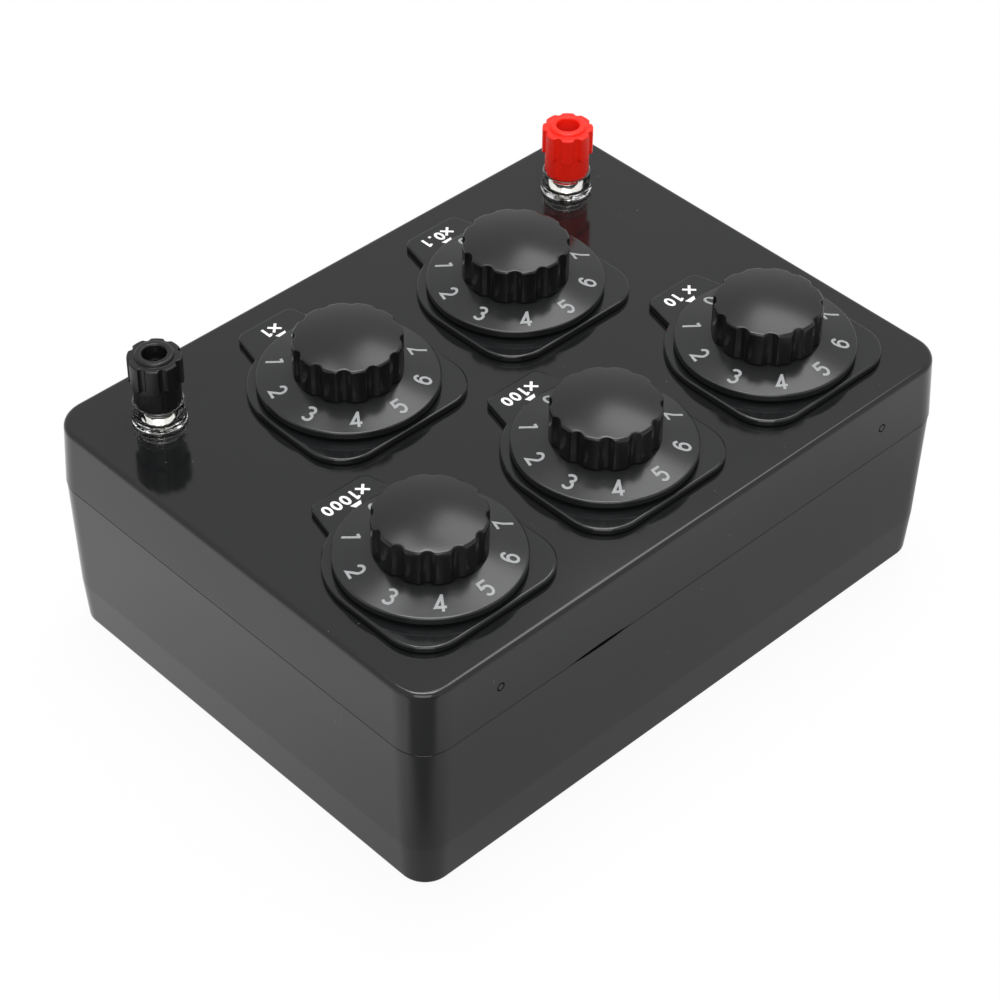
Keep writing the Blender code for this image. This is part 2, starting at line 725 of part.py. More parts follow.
def knob_pattern():
    """A domed knob with twelve flutes, a spigot that enters the dial and a blind hole for the shaft."""
    bore = SHAFT_RADIUS + RUNNING_GAP
    dome_fall = KNOB_DOME_RISE * KNOB_DOME_SHARE**2
    profile = [
        (0.0, KNOB_RIM + KNOB_DOME_RISE),
        (KNOB_RADIUS * KNOB_DOME_SHARE, KNOB_RIM + KNOB_DOME_RISE - dome_fall),
        (KNOB_RADIUS - KNOB_RIM_ROUND, KNOB_RIM),
        (KNOB_RADIUS, KNOB_RIM - KNOB_RIM_ROUND),
        (KNOB_RADIUS, KNOB_FOOT),
        (KNOB_SPIGOT_RADIUS, KNOB_FOOT),
        (KNOB_SPIGOT_RADIUS, SPIGOT_BOTTOM),
        (bore, SPIGOT_BOTTOM),
        (bore, SHAFT_TOP + SEAT_GAP),
        (0.0, SHAFT_TOP + SEAT_GAP),
    ]
    flutes = cylinders(
        "knob_flutes",
        FLUTE_RADIUS,
        KNOB_FOOT - CUT_OVERRUN,
        KNOB_RIM + KNOB_DOME_RISE + CUT_OVERRUN,
        GROOVE_STEPS,
        ring_places(KNOB_RADIUS - FLUTE_DEPTH + FLUTE_RADIUS, FLUTE_COUNT, 180 / FLUTE_COUNT),
    )
    knob = turned("knob_pattern", profile, KNOB_STEPS)
    return finish(combine(knob, [flutes], "DIFFERENCE"), KNOB_BLACK)


def shaft_pattern():
    profile = [
        (0.0, SHAFT_TOP),
        (SHAFT_RADIUS, SHAFT_TOP),
        (SHAFT_RADIUS, SHAFT_BOTTOM),
        (0.0, SHAFT_BOTTOM),
    ]
    return finish(turned("shaft_pattern", profile, SMALL_STEPS), STEEL)


def wiper_pattern():
    """The contact arm: a hub on the shaft and an arm that points at the digit in use."""
    arm = box(
        "wiper_arm",
        (-WIPER_HALF_WIDTH, -WIPER_REACH, WIPER_BOTTOM),
        (WIPER_HALF_WIDTH, 0.0, WIPER_TOP),
    )
    hole = cylinders(
        "wiper_hole",
        SHAFT_RADIUS + RUNNING_GAP,
        WIPER_BOTTOM - CUT_OVERRUN,
        WIPER_TOP + CUT_OVERRUN,
        SMALL_STEPS,
    )
    hub = cylinders("wiper_pattern", WIPER_HUB_RADIUS, WIPER_BOTTOM, WIPER_TOP, SMALL_STEPS)
    hub = combine(hub, [arm], "UNION")
    return finish(combine(hub, [hole], "DIFFERENCE"), BRASS)


def switch_pattern():
    """Index plate with its threaded bush, two spacers and a wafer that carries ten contact pins."""
    bore = SHAFT_RADIUS + RUNNING_GAP
    frame = turned(
        "switch_pattern",
        [
            (bore, BUSH_TOP),
            (BUSH_RADIUS, BUSH_TOP),
            (BUSH_RADIUS, INDEX_TOP),
            (INDEX_PLATE_RADIUS, INDEX_TOP),
            (INDEX_PLATE_RADIUS, INDEX_BOTTOM),
            (bore, INDEX_BOTTOM),
        ],
        SWITCH_STEPS,
        closed=True,
    )
    wafer = turned(
        "wafer",
        [
            (bore, WAFER_TOP),
            (WAFER_RADIUS, WAFER_TOP),
            (WAFER_RADIUS, WAFER_BOTTOM),
            (bore, WAFER_BOTTOM),
        ],
        CONTACT_COUNT,
        closed=True,
    )
    spacers = cylinders(
        "spacers",
        SPACER_RADIUS,
        WAFER_BOTTOM + WAFER_THICKNESS / 2,
        INDEX_TOP - INDEX_PLATE_THICKNESS / 2,
        NUT_SIDES,
        ring_places(SPACER_PITCH_RADIUS, 2, 90),
    )
    contacts = cylinders(
        "contacts",
        CONTACT_HALF_WIDTH * math.sqrt(2),
        PIN_BOTTOM,
        CONTACT_TOP,
        PIN_SIDES,
        ring_places(CONTACT_PITCH_RADIUS, CONTACT_COUNT),
    )
    return finish(combine(frame, [wafer, spacers, contacts], "UNION"), PHENOLIC)


def hang_on_axis(patterns, suffix, x, y):
    """One piece of each pattern, with its origin on the axis at this place."""
    axis = add_object(f"axis_{suffix}", None)
    axis.location = (x, y, 0.0)
    for kind, pattern in patterns.items():
        add_object(f"{kind}_{suffix}", pattern.data).parent = axis


def drop(patterns):
    for pattern in patterns.values():
        bpy.data.objects.remove(pattern, do_unlink=True)


def build_decades():
    """Each decade is one set of pieces under its own axis."""
    bush_hole = BUSH_RADIUS + RUNNING_GAP
    patterns = {
        "plate": plate_pattern(),
        "bush_nut": nut_pattern("nut_pattern", NUT_ACROSS_FLATS, bush_hole, NUT_BOTTOM, NUT_TOP),
        "switch": switch_pattern(),
        "dial": dial_pattern(),
        "knob": knob_pattern(),
        "shaft": shaft_pattern(),
        "wiper": wiper_pattern(),
    }
    for decade, x, y in DECADES:
        hang_on_axis(patterns, decade, x, y)
    drop(patterns)


def build_board():
    """The circuit board under the switches, with nine resistors round each of them on its lower face."""
    board = box(
        "circuit_board",
        (-DIAL_PITCH - BOARD_REACH, NEAR_ROW_Y - BOARD_REACH, BOARD_BOTTOM),
        (DIAL_PITCH + BOARD_REACH, FAR_ROW_Y + BOARD_REACH, BOARD_TOP),
    )
    bm = bmesh.new()
    step = 360 / CONTACT_COUNT
    for _, x, y in DECADES:
        for gap in range(CONTACT_COUNT - 1):
            angle = math.radians(-90 + step * (gap + 0.5))
            made = bmesh.ops.create_cone(
                bm,
                cap_ends=True,
                segments=RESISTOR_SIDES,
                radius1=RESISTOR_RADIUS,
                radius2=RESISTOR_RADIUS,
                depth=RESISTOR_LENGTH,
            )
            for vertex in made["verts"]:
                across, up, along = vertex.co
                out = RESISTOR_PITCH_RADIUS + across
                vertex.co = (
                    x + out * math.cos(angle) - along * math.sin(angle),
                    y + out * math.sin(angle) + along * math.cos(angle),
                    BOARD_BOTTOM - RESISTOR_RADIUS + RESISTOR_SINK + up,
                )
    bmesh.ops.recalc_face_normals(bm, faces=bm.faces)
    resistors = solid("resistors", bm)
    finish(combine(board, [resistors], "UNION"), BOARD_GREEN)


def smooth_path(points, per_leg):
    """Reads points from a smooth curve through the chosen ones."""
    ends = [2 * points[0] - points[1], *points, 2 * points[-1] - points[-2]]
    path = []
    for a, b, c, d in zip(ends, ends[1:], ends[2:], ends[3:]):
        for i in range(per_leg):
            t = i / per_leg
            path.append(
                (2 * b + (c - a) * t + (2 * a - 5 * b + 4 * c - d) * t**2 + (3 * b - a - 3 * c + d) * t**3)
                / 2
            )
    return path + [points[-1]]


def build_lead(name, side):
    """A short wire from a post's tail down to its pad on the board."""
    top = Vector((side * POST_X, POST_Y, STUD_BOTTOM - SEAT_GAP))
    pad_y = NEAR_ROW_Y - BOARD_REACH + LEAD_PAD_MARGIN
    pad = Vector((side * (POST_X - LEAD_SHIFT), pad_y, BOARD_TOP + SEAT_GAP))
    drop = Vector((0.0, 0.0, (top.z - pad.z) / 4))
    route = [top, top - drop, (top + pad) / 2, pad + drop, pad]
    path = smooth_path(route, LEAD_STEPS_PER_LEG)
    curve = bpy.data.curves.new(name, "CURVE")
    curve.dimensions = "3D"
    curve.bevel_depth = LEAD_RADIUS
    curve.bevel_resolution = 2
    curve.use_fill_caps = True
    spline = curve.splines.new("POLY")
    spline.points.add(len(path) - 1)
    for point, place in zip(spline.points, path):
        point.co = (*place, 1.0)
    finish(bake(add_object(name, curve)), LEAD_INSULATION)


def cap_pattern():
    """The finger cap: ribs above a plain band, and a raised ring round the mouth of the socket."""
    bore = STUD_RADIUS + RUNNING_GAP
    profile = [
        (bore, CAP_RING_TOP),
        (CAP_RING_RADIUS, CAP_RING_TOP),
        (CAP_RING_RADIUS, CAP_RIB_TOP_Z),
        (CAP_RIB_RADIUS - CAP_CHAMFER, CAP_RIB_TOP_Z),
        (CAP_RIB_RADIUS, CAP_RIB_TOP_Z - CAP_CHAMFER),
        (CAP_RIB_RADIUS, CAP_RIB_BOTTOM_Z),
        (CAP_BAND_RADIUS, CAP_RIB_BOTTOM_Z),
        (CAP_BAND_RADIUS, CAP_BAND_BOTTOM),
        (CAP_SPIGOT_RADIUS, CAP_BAND_BOTTOM),
        (CAP_SPIGOT_RADIUS, CAP_BOTTOM),
        (bore, CAP_BOTTOM),
    ]
    groove_out = CAP_RIB_RADIUS - CAP_GROOVE_DEPTH + CAP_GROOVE_RADIUS
    grooves = cylinders(
        "cap_grooves",
        CAP_GROOVE_RADIUS,
        CAP_RIB_BOTTOM_Z - CUT_OVERRUN,
        CAP_RING_TOP + CUT_OVERRUN,
        GROOVE_STEPS,
        ring_places(groove_out, CAP_GROOVE_COUNT, 180 / CAP_GROOVE_COUNT),
    )
    cap = turned("cap_pattern", profile, CAP_STEPS, closed=True)
    return finish(combine(cap, [grooves], "DIFFERENCE"), POST_BLACK)


def collar_pattern():
    """The clear insulating cup round the foot of a post."""
    profile = [
        (COLLAR_TOP_RADIUS - COLLAR_RIM, COLLAR_TOP),
        (COLLAR_TOP_RADIUS, COLLAR_TOP),
        (COLLAR_FOOT_RADIUS, COLLAR_BOTTOM),
        (STUD_RADIUS + RUNNING_GAP, COLLAR_BOTTOM),
        (STUD_RADIUS + RUNNING_GAP, COLLAR_FLOOR_TOP),
        (COLLAR_FOOT_RADIUS - COLLAR_WALL, COLLAR_FLOOR_TOP),
    ]
    return finish(turned("collar_pattern", profile, COLLAR_STEPS, closed=True), CLEAR_PLASTIC)


def stud_pattern():
    """The metal post: a 4 mm socket in its top, a flange on the collar's floor and a tail for the nut."""
    top = PANEL_TOP + STUD_TOP
    profile = [
        (0.0, top - SOCKET_DEPTH),
        (SOCKET_RADIUS, top - SOCKET_DEPTH),
        (SOCKET_RADIUS, top),
        (STUD_RADIUS, top),
        (STUD_RADIUS, FLANGE_TOP),
        (STUD_FLANGE_RADIUS, FLANGE_TOP),
        (STUD_FLANGE_RADIUS, FLANGE_BOTTOM),
        (STUD_RADIUS, FLANGE_BOTTOM),
        (STUD_RADIUS, STUD_BOTTOM),
        (0.0, STUD_BOTTOM),
    ]
    return finish(turned("stud_pattern", profile, SMALL_STEPS), NICKEL)


def washer_pattern():
    bore = STUD_RADIUS + RUNNING_GAP
    profile = [
        (bore, WASHER_TOP),
        (WASHER_RADIUS, WASHER_TOP),
        (WASHER_RADIUS, WASHER_BOTTOM),
        (bore, WASHER_BOTTOM),
    ]
    return finish(turned("washer_pattern", profile, SMALL_STEPS, closed=True), NICKEL)


def build_posts():
    nut_top = PANEL_UNDERSIDE - SEAT_GAP
    patterns = {
        "post_cap": cap_pattern(),
        "post_collar": collar_pattern(),
        "post_stud": stud_pattern(),
        "clamp_washer": washer_pattern(),
        "post_nut": nut_pattern(
            "post_nut_pattern",
            POST_NUT_ACROSS_FLATS,
            STUD_RADIUS + RUNNING_GAP,
            nut_top - POST_NUT_THICKNESS,
            nut_top,
        ),
    }
    for colour, x in POSTS:
        hang_on_axis(patterns, colour, x, POST_Y)
    red_cap = bpy.data.objects["post_cap_red"]
    red_cap.data = red_cap.data.copy()
    finish(red_cap, RED_PLASTIC)
    drop(patterns)


build_upper_case()
build_lower_case()
build_case_screws()
build_feet()
build_decades()
build_board()
for post_colour, post_side in (("red", -1), ("black", 1)):
    build_lead(f"lead_{post_colour}", post_side)
build_posts()
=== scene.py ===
"""Dresses a decade resistance box: smooth shells, numbered dials, fluted knobs, posts and a studio.

Units are metres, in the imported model's own frame: +Z is up and the user faces the box from -Y.
"""

import json
import math

import bmesh
import bpy
from mathutils import Matrix, Quaternion, Vector

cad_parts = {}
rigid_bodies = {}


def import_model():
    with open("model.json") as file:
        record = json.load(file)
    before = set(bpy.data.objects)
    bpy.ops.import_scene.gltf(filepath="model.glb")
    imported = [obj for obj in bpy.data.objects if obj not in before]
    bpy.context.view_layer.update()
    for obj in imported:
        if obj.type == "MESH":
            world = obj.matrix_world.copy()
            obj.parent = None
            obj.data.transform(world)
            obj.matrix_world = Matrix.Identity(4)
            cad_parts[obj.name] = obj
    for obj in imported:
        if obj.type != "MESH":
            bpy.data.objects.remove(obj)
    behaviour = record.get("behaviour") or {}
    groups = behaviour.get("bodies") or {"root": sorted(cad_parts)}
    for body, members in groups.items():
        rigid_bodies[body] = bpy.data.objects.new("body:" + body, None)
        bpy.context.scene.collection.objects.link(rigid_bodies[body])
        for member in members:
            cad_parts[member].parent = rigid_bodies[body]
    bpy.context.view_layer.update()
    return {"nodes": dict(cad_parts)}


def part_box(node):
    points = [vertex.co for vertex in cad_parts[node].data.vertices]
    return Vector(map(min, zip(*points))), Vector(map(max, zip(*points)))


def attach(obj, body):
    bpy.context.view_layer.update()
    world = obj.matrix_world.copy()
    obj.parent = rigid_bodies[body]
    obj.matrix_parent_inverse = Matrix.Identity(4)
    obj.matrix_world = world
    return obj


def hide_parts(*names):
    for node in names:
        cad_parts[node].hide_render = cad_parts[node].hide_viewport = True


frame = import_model()

bl_info = {
    "name": "Decade resistance box",
    "version": (1, 0, 0),
    "blender": (4, 5, 0),
    "location": "3D View > Sidebar > Resistance Box",
    "description": "Dresses the packed decade resistance box and lights it for a picture",
    "category": "Add Mesh",
}

MM = 0.001
SCREW_HOLE = 1.8 * MM
SCREW_HEAD_HOLE = 3.6 * MM
SCREW_HEAD_HEIGHT = 2.2 * MM
BUSH_HOLE = 4.9 * MM
POST_HOLE = 3.3 * MM
FOOT_POCKET = 6.3 * MM
INK_LIFT = MM / 100
LABELS = {"tens": "x 10", "hundreds": "x100", "thousands": "x1000", "tenths": "x0.1", "units": "x1"}
POST_SIDES = ("red", "black")
BLACK = (0.0, 0.0, 0.0, 1.0)
WHITE = (1.0, 1.0, 1.0, 1.0)

# Name, azimuth and elevation in degrees, distance, width and height in metres, and radiance.
LIGHTS = (
    ("overhead_key", 317.0, 86.0, 1.3, (0.62, 0.62), 8.5),
    ("far_box", 294.0, 57.0, 1.4, (0.60, 0.46), 3.6),
    ("far_spot", 345.0, 64.0, 1.4, (0.20, 0.20), 4.4),
    ("camera_fill", 136.0, 30.0, 1.8, (1.2, 1.2), 2.8),
)

# Painted light and shade in the floor as mirrors see it: the painted shade beside the case, what is added
# farther out, the painted light added towards +X -Y, and the share that painted shade takes off beyond the +X
# +Y corner.
FLOOR_PAINTED_SHADE_BY_CASE = 0.46
FLOOR_FARTHER_OUT = 0.46
FLOOR_PAINTED_LIGHT_TO_ONE_SIDE = 0.60
FLOOR_CORNER_PAINTED_SHADE = 0.68
FLOOR_SEEN_AS_PLAIN = 0.94

# The world as a light, and what is added to it for rays that see it and for mirrors.
WORLD_LIGHT = 0.45
WORLD_SEEN = 0.55
WORLD_MIRRORED = 0.33


def node_centre(node):
    """Where a round CAD node stands, seen from above."""
    low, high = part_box(node)
    return (low.x + high.x) / 2, (low.y + high.y) / 2


DIALS = {decade: node_centre(f"dial_{decade}") for decade in LABELS}
POSTS = {side: node_centre(f"post_collar_{side}") for side in POST_SIDES}
SCREWS = [node_centre(f"case_screw_{number}") for number in (1, 2, 3, 4)]
FEET = [node_centre(f"foot_{number}") for number in (1, 2, 3, 4)]

UPPER_LOW, UPPER_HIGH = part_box("upper_case")
LOWER_LOW, LOWER_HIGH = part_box("lower_case")
PLATE_LOW, PLATE_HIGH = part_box("plate_hundreds")
DIAL_LOW, DIAL_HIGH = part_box("dial_hundreds")
KNOB_LOW, KNOB_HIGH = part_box("knob_hundreds")
COLLAR_LOW, COLLAR_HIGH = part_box("post_collar_red")
CAP_LOW, CAP_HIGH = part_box("post_cap_red")
STUD_LOW, STUD_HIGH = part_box("post_stud_red")
WASHER_LOW, WASHER_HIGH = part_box("clamp_washer_red")
FOOT_LOW, FOOT_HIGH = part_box("foot_1")
SCREW_LOW, SCREW_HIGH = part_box("case_screw_1")

HALF_LENGTH = UPPER_HIGH.x
HALF_WIDTH = UPPER_HIGH.y
PANEL_TOP = UPPER_HIGH.z
SEAM = UPPER_LOW.z
CASE_BOTTOM = LOWER_LOW.z
DIAL_RADIUS = (DIAL_HIGH.x - DIAL_LOW.x) / 2
KNOB_RADIUS = (KNOB_HIGH.x - KNOB_LOW.x) / 2


def length(name, description, default):
    return bpy.props.FloatProperty(
        name=name, description=description, default=default, min=0.0, unit="LENGTH", precision=5
    )


def count(name, description, default):
    return bpy.props.IntProperty(name=name, description=description, default=default, min=1)


def colour(name, description, default):
    return bpy.props.FloatVectorProperty(
        name=name, description=description, default=default, subtype="COLOR", min=0.0, max=1.0
    )


class CaseSettings(bpy.types.PropertyGroup):
    """Sizes and colour of the two case halves."""

    corner_radius: length("Corner radius", "Radius of the four upright corners", 0.010)
    panel_fillet: length("Panel fillet", "Rounding between the panel and its walls", 0.0014)
    seam_round: length("Seam rounding", "Rounding of the two lips at the seam", 0.00025)
    upper_draft: length("Upper draft", "How far the upper walls lean in at the panel", 0.0008)
    upper_wall: length("Upper wall", "Thickness of the upper case", 0.0025)
    lower_wall: length("Lower wall", "Thickness of the lower case", 0.003)
    lower_set_back: length("Set back", "How far the lower case stands in at the seam", 0.0002)
    waist_height: length("Waist height", "Height of the crease above the base", 0.014)
    waist_inset: length("Waist inset", "How far the crease stands in", 0.0012)
    base_inset: length("Base inset", "How far the base stands in", 0.0022)
    base_fillet: length("Base fillet", "Rounding under the case", 0.0008)
    seam_gap: length("Seam gap", "Open seam between the two halves", 0.00035)
    tongue_wall: length("Tongue wall", "Thickness of the tongue in the seam", 0.0014)
    tongue_height: length("Tongue height", "How far the tongue stands above the seam", 0.0032)
    pry_gap_length: length("Prising gap length", "Length of the lens-shaped gap", 0.0265)
    pry_gap_height: length("Prising gap height", "Height of the lens-shaped gap", 0.0015)
    pry_gap_depth: length("Prising gap depth", "Depth of the lens-shaped gap", 0.0016)
    pry_gap_place: length("Prising gap place", "Its middle, from the right end", 0.063)
    gate_mark_inset: length("Gate mark inset", "Moulding marks, from each end", 0.0275)
    gate_mark_drop: length("Gate mark drop", "Moulding marks, below the panel", 0.011)
    gate_mark_radius: length("Gate mark radius", "Size of the moulding marks", 0.0013)
    gate_mark_groove: length("Gate mark groove", "Width of the ring that each mark leaves", 0.0004)
    boss_radius: length("Boss radius", "Screw bosses inside the corners", 0.0045)
    tint: colour("Colour", "Black of both halves", (0.008, 0.0083, 0.0087))


class PlateSettings(bpy.types.PropertyGroup):
    """Sizes and colour of the label plates."""

    half_width: length("Half width", "Half the width of a plate", 0.0267)
    top_reach: length("Top reach", "From the dial's axis to the far edge", 0.0261)
    belly_reach: length("Belly reach", "From the dial's axis to the lower arcs", 0.0270)
    upper_corner: length("Upper corner", "Radius of the far corners", 0.012)
    lower_corner: length("Lower corner", "Radius of the near corners", 0.024)
    tab_reach: length("Tab reach", "From the dial's axis to the end of the tab", 0.0363)
    tab_half_width: length("Tab half width", "Half the width of the tab's end", 0.0103)
    tab_root_half: length("Tab root", "Half the width of the tab where it starts", 0.0124)
    tab_corner: length("Tab corner", "Radius of the tab's corners", 0.003)
    edge_round: length("Edge rounding", "Rounding of the upper edge", 0.0006)
    bush_hole: length("Bush hole", "Radius of the hole for the switch bush", 0.0049)
    tint: colour("Colour", "Black of the plates", (0.010, 0.0105, 0.011))


class DialSettings(bpy.types.PropertyGroup):
    """Sizes and colour of the numbered discs."""

    rim_thickness: length("Rim thickness", "Height of the disc's outer edge", 0.0021)
    shell: length("Shell", "Thickness of the cone", 0.0016)
    hole: length("Hole", "Radius of the hole for the knob's spigot", 0.0080)
    rim_round: length("Rim rounding", "Rounding of the outer edge", 0.0005)
    steps: count("Steps", "Facets round the disc", 144)
    tint: colour("Colour", "Black of the discs", (0.012, 0.0125, 0.013))


class DigitSettings(bpy.types.PropertyGroup):
    """Sizes and colour of the digits on the discs."""

    height: length("Height", "Height of a digit", 0.00515)
    width: length("Width", "Width of a digit", 0.00325)
    stroke: length("Stroke", "Width of the strokes", 0.00078)
    ring_radius: length("Ring radius", "Radius of the ring of digits", 0.0206)
    ink: length("Ink", "Thickness of the print", 0.00005)
    tint: colour("Colour", "Light grey of the digits", (0.34, 0.35, 0.355))


class LabelSettings(bpy.types.PropertyGroup):
    """Sizes and colour of the labels and pointers."""

    height: length("Height", "Height of the label's digits", 0.0039)
    width: length("Width", "Width of the label's digits", 0.0026)
    stroke: length("Stroke", "Width of the strokes", 0.00078)
    advance: length("Advance", "From one digit to the next", 0.0031)
    drop: length("Drop", "From the dial's axis to the middle of the label", 0.0314)
    aside: length("Aside", "How far the label stands to the right of the axis", 0.0012)
    ink: length("Ink", "Thickness of the print", 0.00005)
    pointer_base: length("Pointer base", "Width of the pointer triangle", 0.0036)
    pointer_near: length("Pointer near", "From the dial's axis to the pointer's base", 0.0288)
    pointer_far: length("Pointer tip", "From the dial's axis to the pointer's tip", 0.0256)
    tint: colour("Colour", "White of the labels", (0.92, 0.92, 0.92))


class KnobSettings(bpy.types.PropertyGroup):
    """Sizes and colour of the fluted knobs."""

    side_height: length("Side height", "Height of the fluted side", 0.0104)
    dome_rise: length("Dome rise", "Rise of the dome above the rim", 0.0019)
    rim_round: length("Rim rounding", "Rounding at the dome's edge", 0.0008)
    foot_round: length("Foot rounding", "Rounding at the foot", 0.0003)
    spigot_radius: length("Spigot radius", "Spigot that enters the disc", 0.0077)
    shaft_hole: length("Shaft hole", "Radius of the hole for the shaft", 0.0033)
    shaft_grip: length("Shaft grip", "Depth of the hole for the shaft", 0.0103)
    flutes: count("Flutes", "Flutes round the knob", 12)
    flute_radius: length("Flute radius", "Radius of each flute", 0.0023)
    flute_depth: length("Flute depth", "Depth of each flute", 0.0011)
    softness: length("Softness", "Rounding of the flutes' edges", 0.0008)
    steps_per_flute: count("Steps per flute", "Facets from flute to flute", 24)
    tint: colour("Colour", "Black of the knobs", (0.005, 0.005, 0.0055))


class PostSettings(bpy.types.PropertyGroup):
    """Sizes and colours of the binding posts."""

    stud_radius: length("Stud radius", "Radius of the threaded post", 0.003)
    socket_radius: length("Socket radius", "Radius of the 4 mm socket", 0.0021)
    socket_depth: length("Socket depth", "Depth of the socket", 0.013)
    thread_pitch: length("Thread pitch", "Rise of the thread for each turn", 0.0007)
    thread_depth: length("Thread depth", "Depth of the thread", 0.0003)
    flange_radius: length("Flange radius", "Radius of the knurled cone in the collar", 0.0060)
    flange_thickness: length("Flange thickness", "Height of that cone", 0.0014)
    flange_neck: length("Flange neck", "Radius where the cone starts", 0.0042)
    band_radius: length("Band radius", "Radius of the cap's plain band", 0.0065)
    spigot_radius: length("Spigot radius", "Radius of the cap inside the collar", 0.0058)
    rib_radius: length("Rib radius", "Radius over the cap's ribs", 0.00745)
    rib_bottom: length("Rib bottom", "Lower ends of the ribs, above the panel", 0.0128)
    rib_end_round: length("Rib end rounding", "Rounding of the ribs' lower ends", 0.0013)
    ribs: count("Ribs", "Ribs round the cap", 8)
    groove_radius: length("Groove radius", "Radius of the grooves between ribs", 0.0011)
    groove_depth: length("Groove depth", "Depth of those grooves", 0.0010)
    ring_radius: length("Ring radius", "Radius of the raised ring at the mouth", 0.0054)
    ring_height: length("Ring height", "Height of that ring", 0.0010)
    mouth_radius: length("Mouth radius", "Radius of the cap's mouth", 0.0033)
    collar_top_radius: length("Collar top", "Radius of the clear collar's rim", 0.0070)
    collar_foot_radius: length("Collar foot", "Radius of the clear collar's foot", 0.00755)
    collar_wall: length("Collar wall", "Wall of the clear collar", 0.0012)
    collar_floor: length("Collar floor", "Floor of the clear collar", 0.0012)
    red: colour("Red", "Colour of the red cap", (0.96, 0.016, 0.005))
    black: colour("Black", "Colour of the black cap", (0.006, 0.006, 0.0065))


class StageSettings(bpy.types.PropertyGroup):
    """The camera and the floor."""

    camera_place: bpy.props.FloatVectorProperty(
        name="Camera",
        description="Where the camera is",
        default=(0.42910, 0.44173, 0.58595),
        unit="LENGTH",
    )
    camera_aim: bpy.props.FloatVectorProperty(
        name="Aim",
        description="The point that the camera looks at",
        default=(0.03306, 0.03285, 0.0725),
        unit="LENGTH",
    )
    camera_roll: bpy.props.FloatProperty(
        name="Roll",
        description="Turn of the camera about its view",
        default=math.radians(0.625),
        unit="ROTATION",
    )
    lens: bpy.props.FloatProperty(name="Lens", description="Focal length in millimetres", default=105.44)
    floor_reach: length("Floor reach", "Half the side of the floor", 3.0)
    floor_tint: colour("Floor colour", "Pale colour of the floor", (0.86, 0.86, 0.86))


class BoxSettings(bpy.types.PropertyGroup):
    """All the settings of the box."""

    case: bpy.props.PointerProperty(type=CaseSettings)
    plates: bpy.props.PointerProperty(type=PlateSettings)
    dials: bpy.props.PointerProperty(type=DialSettings)
    digits: bpy.props.PointerProperty(type=DigitSettings)
    labels: bpy.props.PointerProperty(type=LabelSettings)
    knobs: bpy.props.PointerProperty(type=KnobSettings)
    posts: bpy.props.PointerProperty(type=PostSettings)
    stage: bpy.props.PointerProperty(type=StageSettings)


class Field:
    """A node's output that Python's own arithmetic works on, by adding Math nodes."""

    def __init__(self, graph, socket):
        self.graph = graph
        self.socket = socket

    def maths(self, operation, *others):
        return self.graph.maths(operation, self, *others)

    def __add__(self, other):
        return self.maths("ADD", other)

    def __sub__(self, other):
        return self.maths("SUBTRACT", other)

    def __rsub__(self, other):
        return self.graph.maths("SUBTRACT", other, self)

    def __mul__(self, other):
        return self.maths("MULTIPLY", other)

    def __truediv__(self, other):
        return self.maths("DIVIDE", other)

    def __rtruediv__(self, other):
        return self.graph.maths("DIVIDE", other, self)

    def __neg__(self):
        return self.maths("MULTIPLY", -1.0)

    def __abs__(self):
        return self.maths("ABSOLUTE")

    __radd__ = __add__
    __rmul__ = __mul__


class Graph:
    """Adds nodes to one tree and joins them up."""

    def __init__(self, tree):
        self.tree = tree

    def join(self, value, socket):
        if isinstance(value, Field):
            self.tree.links.new(value.socket, socket)
        else:
            socket.default_value = value

    def node(self, kind, settings=None, sockets=None, output=0):
        """One node: its settings first, then the values or links of its sockets."""
        node = self.tree.nodes.new(kind)
        for key, value in (settings or {}).items():
            setattr(node, key, value)
        for key, value in (sockets or {}).items():
            self.join(value, node.inputs[key])
        return Field(self, node.outputs[output])

    def maths(self, operation, *values):
        return self.node("ShaderNodeMath", {"operation": operation}, dict(enumerate(values)))

    def smooth_step(self, value, start, end):
        """0 before start, 1 after end and a smooth rise between them."""
        sockets = {"Value": value, "From Min": start, "From Max": end}
        return self.node("ShaderNodeMapRange", {"interpolation_type": "SMOOTHSTEP"}, sockets)


class Finish(Graph):
    """A material on its way: noise, mixes and bumps that all read Object coordinates."""

    def __init__(self, name):
        self.material = bpy.data.materials.new(name)
        self.material.use_nodes = True
        super().__init__(self.material.node_tree)
        self.shader = self.tree.nodes["Principled BSDF"]
        self.out = self.tree.nodes["Material Output"]
        self.place = self.node("ShaderNodeTexCoord", output="Object")

    def stretched(self, scale):
        return self.node("ShaderNodeMapping", None, {"Vector": self.place, "Scale": scale})

    def noise(self, scale, detail=3.0, place=None):
        sockets = {"Vector": place or self.place, "Scale": scale, "Detail": detail}
        return self.node("ShaderNodeTexNoise", None, sockets)

    def specks(self, scale, size):
        """1 on small scattered specks, 0 elsewhere."""
        sockets = {"Vector": self.place, "Scale": scale}
        distance = self.node("ShaderNodeTexVoronoi", None, sockets, "Distance")
        return 1.0 - self.smooth_step(distance, size * 0.6, size)

    def mix(self, factor, first, second):
        return self.node("ShaderNodeMix", {"data_type": "RGBA"}, {0: factor, 6: first, 7: second}, 2)

    def bump(self, height, distance, strength=1.0):
        sockets = {"Height": height, "Distance": distance, "Strength": strength}
        self.set("Normal", self.node("ShaderNodeBump", None, sockets))

    def set(self, socket, value):
        self.join(value, self.shader.inputs[socket])


def shade_of(tint, factor):
    return (*(min(1.0, part * factor) for part in tint), 1.0)


